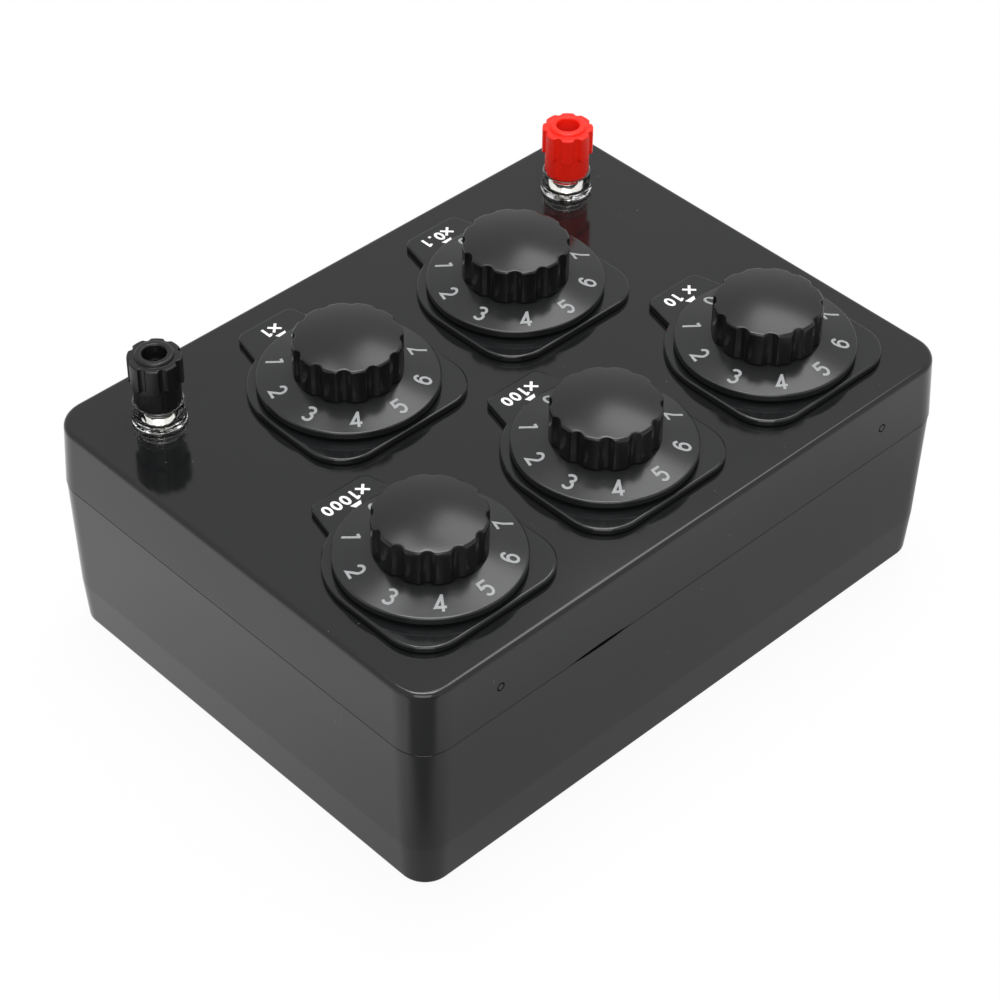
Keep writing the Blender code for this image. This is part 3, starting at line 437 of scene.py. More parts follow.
def moulded_plastic(name, tint, gloss, grain=1.0, dust=0.0, shine=1.46):
    """Moulded plastic: faint flow marks in the colour, smudges in the gloss and a fine orange peel.

    Dust adds pale specks, and shine is the refractive index that sets how much it mirrors.
    """
    finish = Finish(name)
    flow = finish.noise(38.0, 2.0, finish.stretched((1.0, 1.0, 0.4)))
    smudge = finish.noise(95.0, 4.0)
    tinted = finish.mix(flow, shade_of(tint, 0.88), shade_of(tint, 1.14))
    if dust:
        specks = finish.specks(260.0, 0.07) * finish.smooth_step(finish.noise(60.0, 1.0), 0.58, 0.66)
        tinted = finish.mix(specks * dust, tinted, (0.16, 0.16, 0.16, 1.0))
    finish.set("Base Color", tinted)
    finish.set("Roughness", gloss + gloss * 0.35 * (smudge - 0.5))
    finish.set("IOR", shine)
    finish.bump(finish.noise(900.0, 2.0) + finish.noise(2600.0, 1.0) * 0.4, 0.000006 * grain, 0.5)
    return finish.material


def printed_ink(name, tint):
    """Screen-printed ink: nearly even, with a slightly broken edge tone and a dull surface."""
    finish = Finish(name)
    patches = finish.noise(1400.0, 3.0)
    finish.set("Base Color", finish.mix(patches, shade_of(tint, 0.93), shade_of(tint, 1.06)))
    finish.set("Roughness", 0.45 + 0.2 * finish.noise(700.0))
    finish.bump(patches, 0.000008, 0.4)
    return finish.material


def plated_metal(name, tint, gloss, turned=0.0):
    """Metal: tone and gloss vary in patches, with fine scratches, and turning marks where it is turned."""
    finish = Finish(name)
    patches = finish.noise(420.0, 4.0)
    scratches = finish.noise(900.0, 2.0, finish.stretched((1.0, 1.0, 9.0)))
    finish.set("Base Color", finish.mix(patches, shade_of(tint, 0.86), shade_of(tint, 1.06)))
    finish.set("Roughness", gloss * (0.75 + 0.5 * patches))
    finish.set("Metallic", 1.0)
    height = scratches
    if turned:
        rings = finish.node(
            "ShaderNodeTexWave",
            {"wave_type": "BANDS", "bands_direction": "Z"},
            {"Vector": finish.place, "Scale": 1400.0, "Distortion": 0.4},
            1,
        )
        height = scratches * 0.5 + rings * turned
    finish.bump(height, 0.000012, 0.5)
    return finish.material


def clear_acrylic(name):
    """Clear moulded acrylic: its uneven inner faces break up what shows through it."""
    finish = Finish(name)
    haze = finish.noise(300.0, 3.0)
    finish.set("Base Color", finish.mix(haze, (0.95, 0.97, 0.97, 1.0), WHITE))
    finish.set("Roughness", 0.02 + 0.05 * haze)
    finish.set("IOR", 1.49)
    finish.set("Transmission Weight", 1.0)
    finish.bump(finish.noise(420.0, 1.0, finish.stretched((1.0, 1.0, 0.6))), 0.0003, 1.0)
    return finish.material


def phenolic_board(name, tint):
    """Pressed phenolic: paper layers and darker fibres."""
    finish = Finish(name)
    layers = finish.noise(60.0, 4.0, finish.stretched((1.0, 1.0, 30.0)))
    fibres = finish.noise(700.0, 2.0, finish.stretched((1.0, 0.2, 1.0)))
    paper = layers * 0.7 + fibres * 0.3
    finish.set("Base Color", finish.mix(paper, shade_of(tint, 0.7), shade_of(tint, 1.3)))
    finish.set("Roughness", 0.42 + 0.2 * fibres)
    finish.bump(fibres, 0.00002, 0.5)
    return finish.material


def laminate_board(name, tint):
    """Circuit laminate: lacquer over paler tracks."""
    finish = Finish(name)
    tracks = finish.node(
        "ShaderNodeTexBrick",
        {"offset": 0.5, "squash": 1.0},
        {"Vector": finish.place, "Scale": 110.0, "Mortar Size": 0.06, "Brick Width": 1.4, "Row Height": 0.5},
        1,
    )
    finish.set("Base Color", finish.mix(tracks, shade_of(tint, 0.9), shade_of(tint, 1.7)))
    finish.set("Roughness", 0.3 + 0.15 * finish.noise(300.0))
    finish.bump(tracks, 0.00003, 0.6)
    return finish.material


def soft_rubber(name, tint, grain=1.0):
    """Rubber or soft wire insulation: dull, with a fine tooth and paler scuffs."""
    finish = Finish(name)
    tooth = finish.noise(1500.0 / grain, 3.0)
    scuffs = finish.smooth_step(finish.noise(160.0, 4.0), 0.52, 0.75)
    finish.set("Base Color", finish.mix(scuffs, shade_of(tint, 1.0), shade_of(tint, 1.8)))
    finish.set("Roughness", 0.62 + 0.25 * tooth)
    finish.bump(tooth, 0.00003, 0.6)
    return finish.material


def link(name, mesh):
    obj = bpy.data.objects.new(name, mesh)
    bpy.context.scene.collection.objects.link(obj)
    return obj


def from_bmesh(name, bm):
    """Turns a closed bmesh outwards and wraps it as an object."""
    bmesh.ops.recalc_face_normals(bm, faces=bm.faces[:])
    if bm.calc_volume(signed=True) < 0.0:
        bmesh.ops.reverse_faces(bm, faces=bm.faces[:])
    mesh = bpy.data.meshes.new(name)
    bm.to_mesh(mesh)
    bm.free()
    return link(name, mesh)


def filleted(corners, steps, closed=False):
    """Rounds each (across, up, radius) corner of an outline. A radius of 0 leaves it sharp."""
    outline = []
    total = len(corners)
    for number, (across, up, radius) in enumerate(corners):
        here = Vector((across, up))
        if not radius or (not closed and number in (0, total - 1)):
            outline.append(here)
            continue
        before = (Vector(corners[number - 1][:2]) - here).normalized()
        after = (Vector(corners[(number + 1) % total][:2]) - here).normalized()
        half = before.angle(after) / 2
        centre = here + (before + after).normalized() * radius / math.sin(half)
        reach = radius / math.tan(half)
        spoke = here + before * reach - centre
        sweep = spoke.angle_signed(here + after * reach - centre)
        for step in range(steps + 1):
            outline.append(centre + Matrix.Rotation(-sweep * step / steps, 2) @ spoke)
    return outline


def braced(outline, lead, closed=False):
    """Adds a point a little way in from both ends of each long side, so that flat sides shade flat."""
    result = []
    total = len(outline)
    for number, here in enumerate(outline):
        result.append(here)
        if number == total - 1 and not closed:
            break
        side = outline[(number + 1) % total] - here
        if side.length > lead * 2.5:
            result.append(here + side.normalized() * lead)
            result.append(here + side - side.normalized() * lead)
    return result


def inset_loop(outline, distance):
    """The same closed outline, moved inwards by a distance."""
    result = []
    total = len(outline)
    for number, here in enumerate(outline):
        arriving = (here - outline[number - 1]).normalized()
        leaving = (outline[(number + 1) % total] - here).normalized()
        left = Vector((-(arriving + leaving).y, (arriving + leaving).x)).normalized()
        share = max(left.dot(Vector((-arriving.y, arriving.x))), 0.5)
        result.append(here + left * (distance / share))
    return result


def skin(name, loops):
    """A closed body through loops of equal length, with a face across each end."""
    bm = bmesh.new()
    rings = [[bm.verts.new(point) for point in loop] for loop in loops]
    total = len(rings[0])
    for first, second in zip(rings, rings[1:]):
        for here in range(total):
            after = (here + 1) % total
            bm.faces.new((first[here], first[after], second[after], second[here]))
    bm.faces.new(rings[0])
    bm.faces.new(rings[-1])
    return from_bmesh(name, bm)


def turned(name, profile, steps, closed=False):
    """Turns (radius, height) points about Z. An open profile starts and ends on the axis."""
    bm = bmesh.new()
    angles = [math.tau * step / steps for step in range(steps)]
    rings = []
    for radius, height in profile:
        if radius < MM / 1000:
            rings.append([bm.verts.new((0.0, 0.0, height))] * steps)
        else:
            rings.append(
                [bm.verts.new((radius * math.cos(a), radius * math.sin(a), height)) for a in angles]
            )
    for first, second in zip(rings, rings[1:] + (rings[:1] if closed else [])):
        for here in range(steps):
            after = (here + 1) % steps
            corners = dict.fromkeys((first[here], first[after], second[after], second[here]))
            if len(corners) > 2:
                bm.faces.new(tuple(corners))
    return from_bmesh(name, bm)


def settle(obj):
    """Applies an object's modifiers and its place to its mesh, and leaves it with neither."""
    bpy.context.view_layer.update()
    graph = bpy.context.evaluated_depsgraph_get()
    mesh = bpy.data.meshes.new_from_object(obj.evaluated_get(graph))
    mesh.transform(obj.matrix_world)
    name = obj.name
    bpy.data.objects.remove(obj, do_unlink=True)
    mesh.name = name
    return link(name, mesh)


def carve(obj, others, operation="DIFFERENCE"):
    """Cuts with each of the other bodies in turn, or joins them, and drops them."""
    for other in others:
        modifier = obj.modifiers.new("carve", "BOOLEAN")
        modifier.operation = operation
        modifier.solver = "EXACT"
        modifier.object = other
    obj = settle(obj)
    for other in others:
        bpy.data.objects.remove(other, do_unlink=True)
    return obj


def pegs(radius, bottom, top, steps, places):
    """Upright pegs as cutters or bosses, in one object."""
    bm = bmesh.new()
    for x, y in places:
        made = bmesh.ops.create_cone(
            bm, cap_ends=True, segments=steps, radius1=radius, radius2=radius, depth=top - bottom
        )
        bmesh.ops.translate(bm, verts=made["verts"], vec=(x, y, (bottom + top) / 2))
    return from_bmesh("pegs", bm)


def dress(obj, material, angle=30.0):
    """Smooth shading up to an angle, and one material."""
    obj.data.materials.clear()
    obj.data.materials.append(material)
    obj.data.shade_smooth()
    obj.data.set_sharp_from_angle(angle=math.radians(angle))
    return obj


def place_copy(pattern, name, x, y):
    """A copy of a pattern with its place in its mesh."""
    mesh = pattern.data.copy()
    mesh.transform(Matrix.Translation((x, y, 0.0)))
    return link(name, mesh)


def hand_over(piece, body, slot, *nodes):
    """Puts a finished piece on the body that it rides on and hides the imported nodes that it stands for. The
    slot is not used.
    """
    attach(piece, body)
    if nodes:
        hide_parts(*nodes)
    return piece


def drop(*patterns):
    for pattern in patterns:
        bpy.data.objects.remove(pattern, do_unlink=True)


def new_tree(name, sockets):
    """A Geometry Nodes tree with named inputs. Returns its graph and a field for each input."""
    tree = bpy.data.node_groups.new(name, "GeometryNodeTree")
    tree.interface.new_socket("Geometry", in_out="INPUT", socket_type="NodeSocketGeometry")
    for label, kind in sockets:
        tree.interface.new_socket(label, in_out="INPUT", socket_type=f"NodeSocket{kind}")
    tree.interface.new_socket("Geometry", in_out="OUTPUT", socket_type="NodeSocketGeometry")
    graph = Graph(tree)
    entry = tree.nodes.new("NodeGroupInput")
    return graph, {socket.name: Field(graph, socket) for socket in entry.outputs if socket.name}


def close_tree(graph, geometry, material):
    """Ends a tree in Realize Instances and Set Material."""
    real = graph.node("GeometryNodeRealizeInstances", None, {"Geometry": geometry})
    done = graph.node("GeometryNodeSetMaterial", None, {"Geometry": real, "Material": material})
    exit_node = graph.tree.nodes.new("NodeGroupOutput")
    graph.join(done, exit_node.inputs[0])
    return graph.tree


def run_tree(obj, tree, values):
    """Runs a tree on an object with its inputs set by identifier, and keeps the plain mesh."""
    modifier = obj.modifiers.new(tree.name, "NODES")
    modifier.node_group = tree
    for item in tree.interface.items_tree:
        if item.item_type == "SOCKET" and item.in_out == "INPUT" and item.name in values:
            modifier[item.identifier] = values[item.name]
    return settle(obj)


def move_points(graph, geometry, x, y, z):
    place = graph.node("ShaderNodeCombineXYZ", None, {"X": x, "Y": y, "Z": z})
    return graph.node("GeometryNodeSetPosition", None, {"Geometry": geometry, "Position": place})


def read_place(graph):
    """The x, y, z, radius and bearing of each point."""
    where = graph.node("GeometryNodeInputPosition")
    split = graph.node("ShaderNodeSeparateXYZ", None, {"Vector": where})
    x, y, z = (Field(graph, split.socket.node.outputs[axis]) for axis in "XYZ")
    radius = graph.maths("SQRT", x * x + y * y)
    return x, y, z, radius, graph.maths("ARCTAN2", y, x)


def flute_tree():
    """Presses round flutes into a turned body. The lands between them can end in rounded ends."""
    labels = (
        "Outer Radius", "Core Radius", "Flute Radius", "Flute Depth",
        "Softness", "End Height", "End Rounding",
    )
    sockets = [("Count", "Int")] + [(label, "Float") for label in labels]
    graph, given = new_tree("flutes", sockets + [("Material", "Material")])
    x, y, z, radius, bearing = read_place(graph)
    outer, core, groove = given["Outer Radius"], given["Core Radius"], given["Flute Radius"]
    pitch = math.tau / given["Count"]
    from_flute = graph.maths("WRAP", bearing - pitch / 2, pitch / 2, -pitch / 2)
    middle = outer - given["Flute Depth"] + groove
    side = middle * abs(graph.maths("SINE", from_flute))
    bow = graph.maths("SQRT", graph.maths("MAXIMUM", groove * groove - side * side, 0.0))
    past = graph.maths("MAXIMUM", side - groove, 0.0)
    wall = middle * graph.maths("COSINE", from_flute) - bow + past * 8.0
    from_land = abs(graph.maths("WRAP", bearing, pitch / 2, -pitch / 2)) * outer
    rounding = given["End Rounding"]
    corner = pitch * outer / 2 - groove - rounding
    over = graph.maths("MINIMUM", graph.maths("MAXIMUM", from_land - corner, 0.0), rounding)
    end = given["End Height"] + rounding - graph.maths("SQRT", rounding * rounding - over * over)
    share = graph.smooth_step(z, end, end + given["Softness"])
    limit = core + (outer - core) * share
    pressed = graph.maths("SMOOTH_MIN", radius, wall, given["Softness"])
    scale = graph.maths("MINIMUM", pressed, limit) / graph.maths("MAXIMUM", radius, MM / 1000)
    shaped = move_points(graph, given["Geometry"], x * scale, y * scale, z)
    return close_tree(graph, shaped, given["Material"])


def thread_tree():
    """Cuts a screw thread into a turned body between two heights."""
    labels = ("Radius", "Pitch", "Depth", "Bottom", "Top")
    graph, given = new_tree("thread", [(label, "Float") for label in labels] + [("Material", "Material")])
    x, y, z, radius, bearing = read_place(graph)
    turn = graph.maths("FRACT", z / given["Pitch"] - bearing / math.tau)
    ridge = abs(turn * 2.0 - 1.0)
    outside = graph.maths("GREATER_THAN", radius, given["Radius"] * 0.98)
    above = graph.smooth_step(z, given["Bottom"], given["Bottom"] + given["Pitch"])
    below = 1.0 - graph.smooth_step(z, given["Top"] - given["Pitch"], given["Top"])
    thin = graph.maths("LESS_THAN", radius, given["Radius"] * 1.02)
    cut = given["Depth"] * ridge * outside * above * below * thin
    scale = 1.0 - cut / graph.maths("MAXIMUM", radius, MM / 1000)
    shaped = move_points(graph, given["Geometry"], x * scale, y * scale, z)
    return close_tree(graph, shaped, given["Material"])


def digit_ring_tree():
    """Stands one digit of a collection at each step of a ring, and lays them all on the cone of a disc."""
    labels = ("Ring Radius", "Inner Radius", "Inner Height", "Outer Radius", "Outer Height")
    sockets = [("Digits", "Collection"), ("Count", "Int")] + [(label, "Float") for label in labels]
    graph, given = new_tree("digit_ring", sockets + [("Material", "Material")])
    index = graph.node("GeometryNodeInputIndex")
    turn = index * (math.tau / given["Count"])
    ring = given["Ring Radius"]
    place = graph.node(
        "ShaderNodeCombineXYZ",
        None,
        {"X": ring * graph.maths("SINE", turn), "Y": -(ring * graph.maths("COSINE", turn))},
    )
    points = graph.node("GeometryNodePoints", None, {"Count": given["Count"], "Position": place})
    digits = graph.node(
        "GeometryNodeCollectionInfo",
        None,
        {"Collection": given["Digits"], "Separate Children": True, "Reset Children": True},
    )
    angle = graph.node("ShaderNodeCombineXYZ", None, {"Z": turn})
    standing = graph.node(
        "GeometryNodeInstanceOnPoints",
        None,
        {
            "Points": points,
            "Instance": digits,
            "Pick Instance": True,
            "Instance Index": index,
            "Rotation": angle,
        },
    )
    flat = graph.node("GeometryNodeRealizeInstances", None, {"Geometry": standing})
    x, y, z, radius, _ = read_place(graph)
    fall = (radius - given["Inner Radius"]) / (given["Outer Radius"] - given["Inner Radius"])
    cone = given["Inner Height"] + (given["Outer Height"] - given["Inner Height"]) * fall
    return close_tree(graph, move_points(graph, flat, x, y, z + cone), given["Material"])


def arc_points(centre, radii, start, end, steps=14):
    """Points along an elliptical arc, in degrees."""
    angles = [math.radians(start + (end - start) * step / steps) for step in range(steps + 1)]
    return [Vector((centre[0] + radii[0] * math.cos(a), centre[1] + radii[1] * math.sin(a))) for a in angles]


def glyph_strokes(sign, w, h, t):
    """Centre lines of a plain sign, w wide and h high, for strokes t wide. True marks a closed line."""
    a = t / 2
    rx = w / 2 - a
    mid = w / 2
    if sign == "0":
        return [(arc_points((mid, h / 2), (rx, h / 2 - a), 0, 360, 36)[:-1], True)]
    if sign == "1":
        x = mid + 0.06 * w
        return [([(x, 0.0), (x, h)], False), ([(x - 0.40 * w, 0.78 * h), (x, 0.93 * h)], False)]
    if sign == "2":
        ry = 0.27 * h
        bowl = arc_points((mid, h - a - ry), (rx, ry), 172, -38, 18)
        return [(bowl + [Vector((a * 1.25, a)), Vector((w, a))], False)]
    if sign == "3":
        low = (0.54 * h - a) / 2
        high = (0.46 * h - a) / 2
        return [
            (arc_points((mid, 0.54 * h + high), (rx * 0.94, high), 155, -90, 16), False),
            (arc_points((mid, a + low), (rx, low), 90, -155, 18), False),
        ]
    if sign == "4":
        x = 0.70 * w
        return [([(x, 0.0), (x, h)], False), ([(w, 0.26 * h), (a, 0.26 * h), (x, h - a * 0.8)], False)]
    if sign == "5":
        ry = 0.31 * h - a / 2
        bowl = arc_points((mid, a + ry), (rx, ry), 138, -152, 20)
        flag = [(w * 0.92, h - a), (0.20 * w, h - a), (0.12 * w, bowl[0].y - a * 0.2)]
        return [(flag, False), (bowl, False)]
    if sign == "6":
        ry = 0.305 * h - a / 2
        top = arc_points((mid + 0.03 * w, h * 0.52), (rx + 0.03 * w, 0.48 * h - a), 38, 180, 16)
        bowl = arc_points((mid, a + ry), (rx, ry), 0, 360, 30)[:-1]
        return [(top + [Vector((a, a + ry))], False), (bowl, True)]
    if sign == "7":
        return [([(0.0, h - a), (w - a * 1.2, h - a), (0.52 * w, 0.5 * h), (0.34 * w, 0.0)], False)]
    if sign == "8":
        low = (h - t) * 0.265
        high = (h - t) * 0.235
        return [
            (arc_points((mid, h - a - high), (rx * 0.9, high), 0, 360, 26)[:-1], True),
            (arc_points((mid, a + low), (rx, low), 0, 360, 28)[:-1], True),
        ]
    if sign == "9":
        six = glyph_strokes("6", w, h, t)
        return [([Vector((w, h)) - Vector(p) for p in line], loop) for line, loop in six]
    if sign == ".":
        return [([(mid - a, a), (mid + a, a)], False)]
    reach = 0.36 * h
    middle = 0.44 * h
    return [
        ([(mid - reach, middle - reach), (mid + reach, middle + reach)], False),
        ([(mid - reach, middle + reach), (mid + reach, middle - reach)], False),
    ]


def ribbon(name, line, loop, t, thickness):
    """A flat solid stroke along a line, mitred at its corners."""
    line = [Vector(point) for point in line]
    total = len(line)
    sides = []
    for number, here in enumerate(line):
        arriving = here - line[number - 1] if loop or number else line[1] - here
        leaving = line[(number + 1) % total] - here if loop or number < total - 1 else arriving
        arriving, leaving = arriving.normalized(), leaving.normalized()
        normal = Vector((-(arriving + leaving).y, (arriving + leaving).x)).normalized()
        normal *= t / 2 / max(normal.dot(Vector((-arriving.y, arriving.x))), 0.45)
        sides.append((here - normal, here + normal))
    bm = bmesh.new()
    rings = [
        [bm.verts.new((*p, z)) for p, z in ((low, 0.0), (high, 0.0), (high, thickness), (low, thickness))]
        for low, high in sides
    ]
    for first, second in zip(rings, rings[1:] + (rings[:1] if loop else [])):
        for here in range(4):
            after = (here + 1) % 4
            bm.faces.new((first[here], first[after], second[after], second[here]))
    if not loop:
        bm.faces.new(rings[0])
        bm.faces.new(rings[-1])
    return from_bmesh(name, bm)


def glyph(name, sign, w, h, t, thickness):
    """One printed sign, as a single thin solid with its middle at the origin."""
    strokes = [ribbon(name, line, loop, t, thickness) for line, loop in glyph_strokes(sign, w, h, t)]
    sign_piece = carve(strokes[0], strokes[1:], "UNION") if len(strokes) > 1 else strokes[0]
    sign_piece.name = name
    sign_piece.data.transform(Matrix.Translation((-w / 2, -h / 2, 0.0)))
    return sign_piece


def case_loop(inset, height, radius, draft=0.0, steps=14):
    """Points round the case at one height, this far in from its widest line."""
    half_x = HALF_LENGTH - inset
    half_y = HALF_WIDTH - inset
    corner = radius - max(0.0, inset - draft)
    corners = [(half_x, -half_y), (half_x, half_y), (-half_x, half_y), (-half_x, -half_y)]
    outline = filleted([(x, y, corner) for x, y in corners], steps, closed=True)
    return [(point.x, point.y, height) for point in braced(outline, 0.7 * MM, closed=True)]


def lens_cutter(settings):
    """The lens-shaped gap in the seam on the far wall."""
    half = settings.pry_gap_length / 2
    rise = settings.pry_gap_height / 2
    radius = (half * half + rise * rise) / (2 * rise)
    reach = math.degrees(math.asin(half / radius))
    above = arc_points((0.0, rise - radius), (radius, radius), 90 - reach, 90 + reach, 20)
    below = arc_points((0.0, radius - rise), (radius, radius), 270 - reach, 270 + reach, 20)
    outline = above[:-1] + below[:-1]
    x = HALF_LENGTH - settings.pry_gap_place
    depths = (HALF_WIDTH - settings.pry_gap_depth, HALF_WIDTH + MM)
    return skin("lens", [[(x + p.x, depth, SEAM + p.y) for p in outline] for depth in depths])


def gate_marks(settings):
    """Two small rings that the mould's gates leave on the far wall."""
    outer = settings.gate_mark_radius
    inner = outer - settings.gate_mark_groove
    depth = 0.6 * MM
    ring = turned("ring", [(inner, -depth), (outer, -depth), (outer, depth), (inner, depth)], 32, closed=True)
    turn = Matrix.Rotation(math.radians(90), 4, "X")
    y = HALF_WIDTH - settings.upper_draft / 2
    z = PANEL_TOP - settings.gate_mark_drop
    bm = bmesh.new()
    for x in (settings.gate_mark_inset - HALF_LENGTH, HALF_LENGTH - settings.gate_mark_inset):
        mark = ring.data.copy()
        mark.transform(Matrix.Translation((x, y, z)) @ turn)
        bm.from_mesh(mark)
    drop(ring)
    return from_bmesh("gate_marks", bm)


def build_case(settings):
    """Both halves of the case, with their bosses, holes, tongue and seam."""
    black = moulded_plastic("case_black", settings.tint, 0.10, 1.0, 0.5)
    draft = settings.upper_draft
    wall = settings.upper_wall
    underside = PANEL_TOP - wall
    corners = [
        (draft + 3 * MM, PANEL_TOP, 0.0),
        (draft, PANEL_TOP, settings.panel_fillet),
        (0.0, SEAM, settings.seam_round),
        (wall, SEAM, settings.seam_round / 2),
        (wall, underside, MM / 2),
        (wall + 3 * MM, underside, 0.0),
    ]
    profile = braced(filleted(corners, 6), 0.4 * MM)
    loops = [case_loop(p.x, p.y, settings.corner_radius, draft) for p in profile]
    upper = skin("upper_case_shell", loops)
    bosses = pegs(settings.boss_radius, SEAM + MM / 10, PANEL_TOP - wall / 2, 32, SCREWS)
    upper = carve(upper, [bosses], "UNION")
    cuts = [
        pegs(SCREW_HOLE, SEAM - MM, SCREW_HIGH.z + settings.seam_gap, 24, SCREWS),
        pegs(BUSH_HOLE, underside - MM, PANEL_TOP + MM, 48, list(DIALS.values())),
        pegs(POST_HOLE, underside - MM, PANEL_TOP + MM, 40, list(POSTS.values())),
        lens_cutter(settings),
        gate_marks(settings),
    ]
    upper = dress(carve(upper, cuts), black)
    hand_over(upper, "case", "case_plastic", "upper_case")

    lower_rim = SEAM - settings.seam_gap
    tongue_out = wall + settings.seam_gap
    tongue_in = tongue_out + settings.tongue_wall
    thick = settings.lower_wall
    waist = CASE_BOTTOM + settings.waist_height
    corners = [
        (settings.base_inset + 3 * MM, CASE_BOTTOM, 0.0),
        (settings.base_inset, CASE_BOTTOM, settings.base_fillet),
        (settings.waist_inset, waist, 10 * MM),
        (settings.lower_set_back, lower_rim, settings.seam_round),
        (tongue_out, lower_rim, settings.seam_round / 3),
        (tongue_out, lower_rim + settings.tongue_height, settings.seam_round),
        (tongue_in, lower_rim + settings.tongue_height, settings.seam_round),
        (tongue_in, lower_rim - 5 * MM, MM),
        (settings.waist_inset + thick, waist, MM),
        (settings.base_inset + thick, CASE_BOTTOM + thick, 1.5 * MM),
        (settings.base_inset + thick + 3 * MM, CASE_BOTTOM + thick, 0.0),
    ]
    profile = braced(filleted(corners, 5), 0.4 * MM)
    loops = [case_loop(p.x, p.y, settings.corner_radius) for p in profile]
    lower = skin("lower_case_shell", loops)
    bosses = pegs(settings.boss_radius, CASE_BOTTOM + thick / 2, lower_rim - MM / 10, 32, SCREWS)
    lower = carve(lower, [bosses], "UNION")
    seat = SCREW_LOW.z + SCREW_HEAD_HEIGHT + settings.seam_gap
    cuts = [
        pegs(SCREW_HEAD_HOLE, CASE_BOTTOM - MM, seat, 40, SCREWS),
        pegs(SCREW_HOLE, seat - MM, lower_rim + MM, 24, SCREWS),
        pegs(FOOT_POCKET, CASE_BOTTOM - MM, FOOT_HIGH.z + settings.seam_gap, 48, FEET),
        lens_cutter(settings),
    ]
    lower = dress(carve(lower, cuts), black)
    hand_over(lower, "case", "case_plastic", "lower_case")


def plate_outline(settings):
    """A rounded square whose lower half is an arc, with a tab for the label at the user's side."""
    half, high, low = settings.half_width, settings.upper_corner, settings.lower_corner
    tab_x = settings.tab_half_width - settings.tab_corner
    tab_y = settings.tab_corner - settings.tab_reach
    top_y = settings.top_reach - high
    low_y = low - settings.belly_reach
    reach = math.degrees(math.asin((settings.tab_root_half - half + low) / low))
    tab = (settings.tab_corner, settings.tab_corner)
    outline = (
        arc_points((half - high, top_y), (high, high), 0, 90)
        + arc_points((high - half, top_y), (high, high), 90, 180)
        + arc_points((low - half, low_y), (low, low), 180, 270 - reach)
        + arc_points((-tab_x, tab_y), tab, 180, 270, 8)
        + arc_points((tab_x, tab_y), tab, 270, 360, 8)
        + arc_points((half - low, low_y), (low, low), 270 + reach, 360)
    )
    return braced(outline, 0.5 * MM, closed=True)


def build_plates(settings):
    """The five label plates, from one pattern."""
    black = moulded_plastic("plate_black", settings.tint, 0.10, 0.7, 0.5)
    outline = plate_outline(settings)
    corners = [
        (1.2 * MM, PLATE_LOW.z, 0.0),
        (0.0, PLATE_LOW.z, settings.edge_round / 3),
        (0.0, PLATE_HIGH.z, settings.edge_round),
        (1.2 * MM, PLATE_HIGH.z, 0.0),
    ]
    profile = braced(filleted(corners, 5), 0.2 * MM)
    loops = [[(q.x, q.y, p.y) for q in inset_loop(outline, p.x)] for p in profile]
    hole = pegs(settings.bush_hole, PLATE_LOW.z - MM, PLATE_HIGH.z + MM, 48, [(0.0, 0.0)])
    pattern = dress(carve(skin("plate_pattern", loops), [hole]), black)
    for decade, (x, y) in DIALS.items():
        piece = place_copy(pattern, f"label_plate_{decade}", x, y)
        hand_over(piece, "case", "plate_plastic", f"plate_{decade}")
    drop(pattern)


def build_dials(settings):
    """The five conical discs, from one pattern."""
    black = moulded_plastic("dial_black", settings.tint, 0.19, 1.6)
    rim_top = DIAL_LOW.z + settings.rim_thickness
    under = DIAL_HIGH.z - settings.shell
    corners = [
        (settings.hole, DIAL_HIGH.z, MM / 10),
        (KNOB_RADIUS, DIAL_HIGH.z, MM),
        (DIAL_RADIUS, rim_top, settings.rim_round),
        (DIAL_RADIUS, DIAL_LOW.z, settings.rim_round / 2),
        (KNOB_RADIUS, under, MM),
        (settings.hole, under, MM / 10),
    ]
    profile = braced(filleted(corners, 5, closed=True), 0.3 * MM, closed=True)
    pattern = dress(turned("dial_pattern", profile, settings.steps, closed=True), black)
    for decade, (x, y) in DIALS.items():
        piece = place_copy(pattern, f"number_disc_{decade}", x, y)
        hand_over(piece, f"selector_{decade}", "dial_plastic", f"dial_{decade}")
    drop(pattern)


def build_digits(settings, dials):
    """A ring of digits for each disc, laid on its cone."""
    grey = printed_ink("digit_grey", settings.tint)
    shelf = bpy.data.collections.new("digits")
    bpy.context.scene.collection.children.link(shelf)
    for digit in "0123456789":
        sign = glyph(
            f"digit_{digit}", digit, settings.width, settings.height, settings.stroke, settings.ink
        )
        bpy.context.scene.collection.objects.unlink(sign)
        shelf.objects.link(sign)
    values = {
        "Digits": shelf,
        "Count": 10,
        "Ring Radius": settings.ring_radius,
        "Inner Radius": KNOB_RADIUS,
        "Inner Height": DIAL_HIGH.z + INK_LIFT,
        "Outer Radius": DIAL_RADIUS,
        "Outer Height": DIAL_LOW.z + dials.rim_thickness + INK_LIFT,
        "Material": grey,
    }
    empty = link("digit_ring", bpy.data.meshes.new("digit_ring"))
    pattern = run_tree(empty, digit_ring_tree(), values)
    for decade, (x, y) in DIALS.items():
        hand_over(place_copy(pattern, f"digits_{decade}", x, y), f"selector_{decade}", "digit_grey")
    drop(pattern, *shelf.objects)


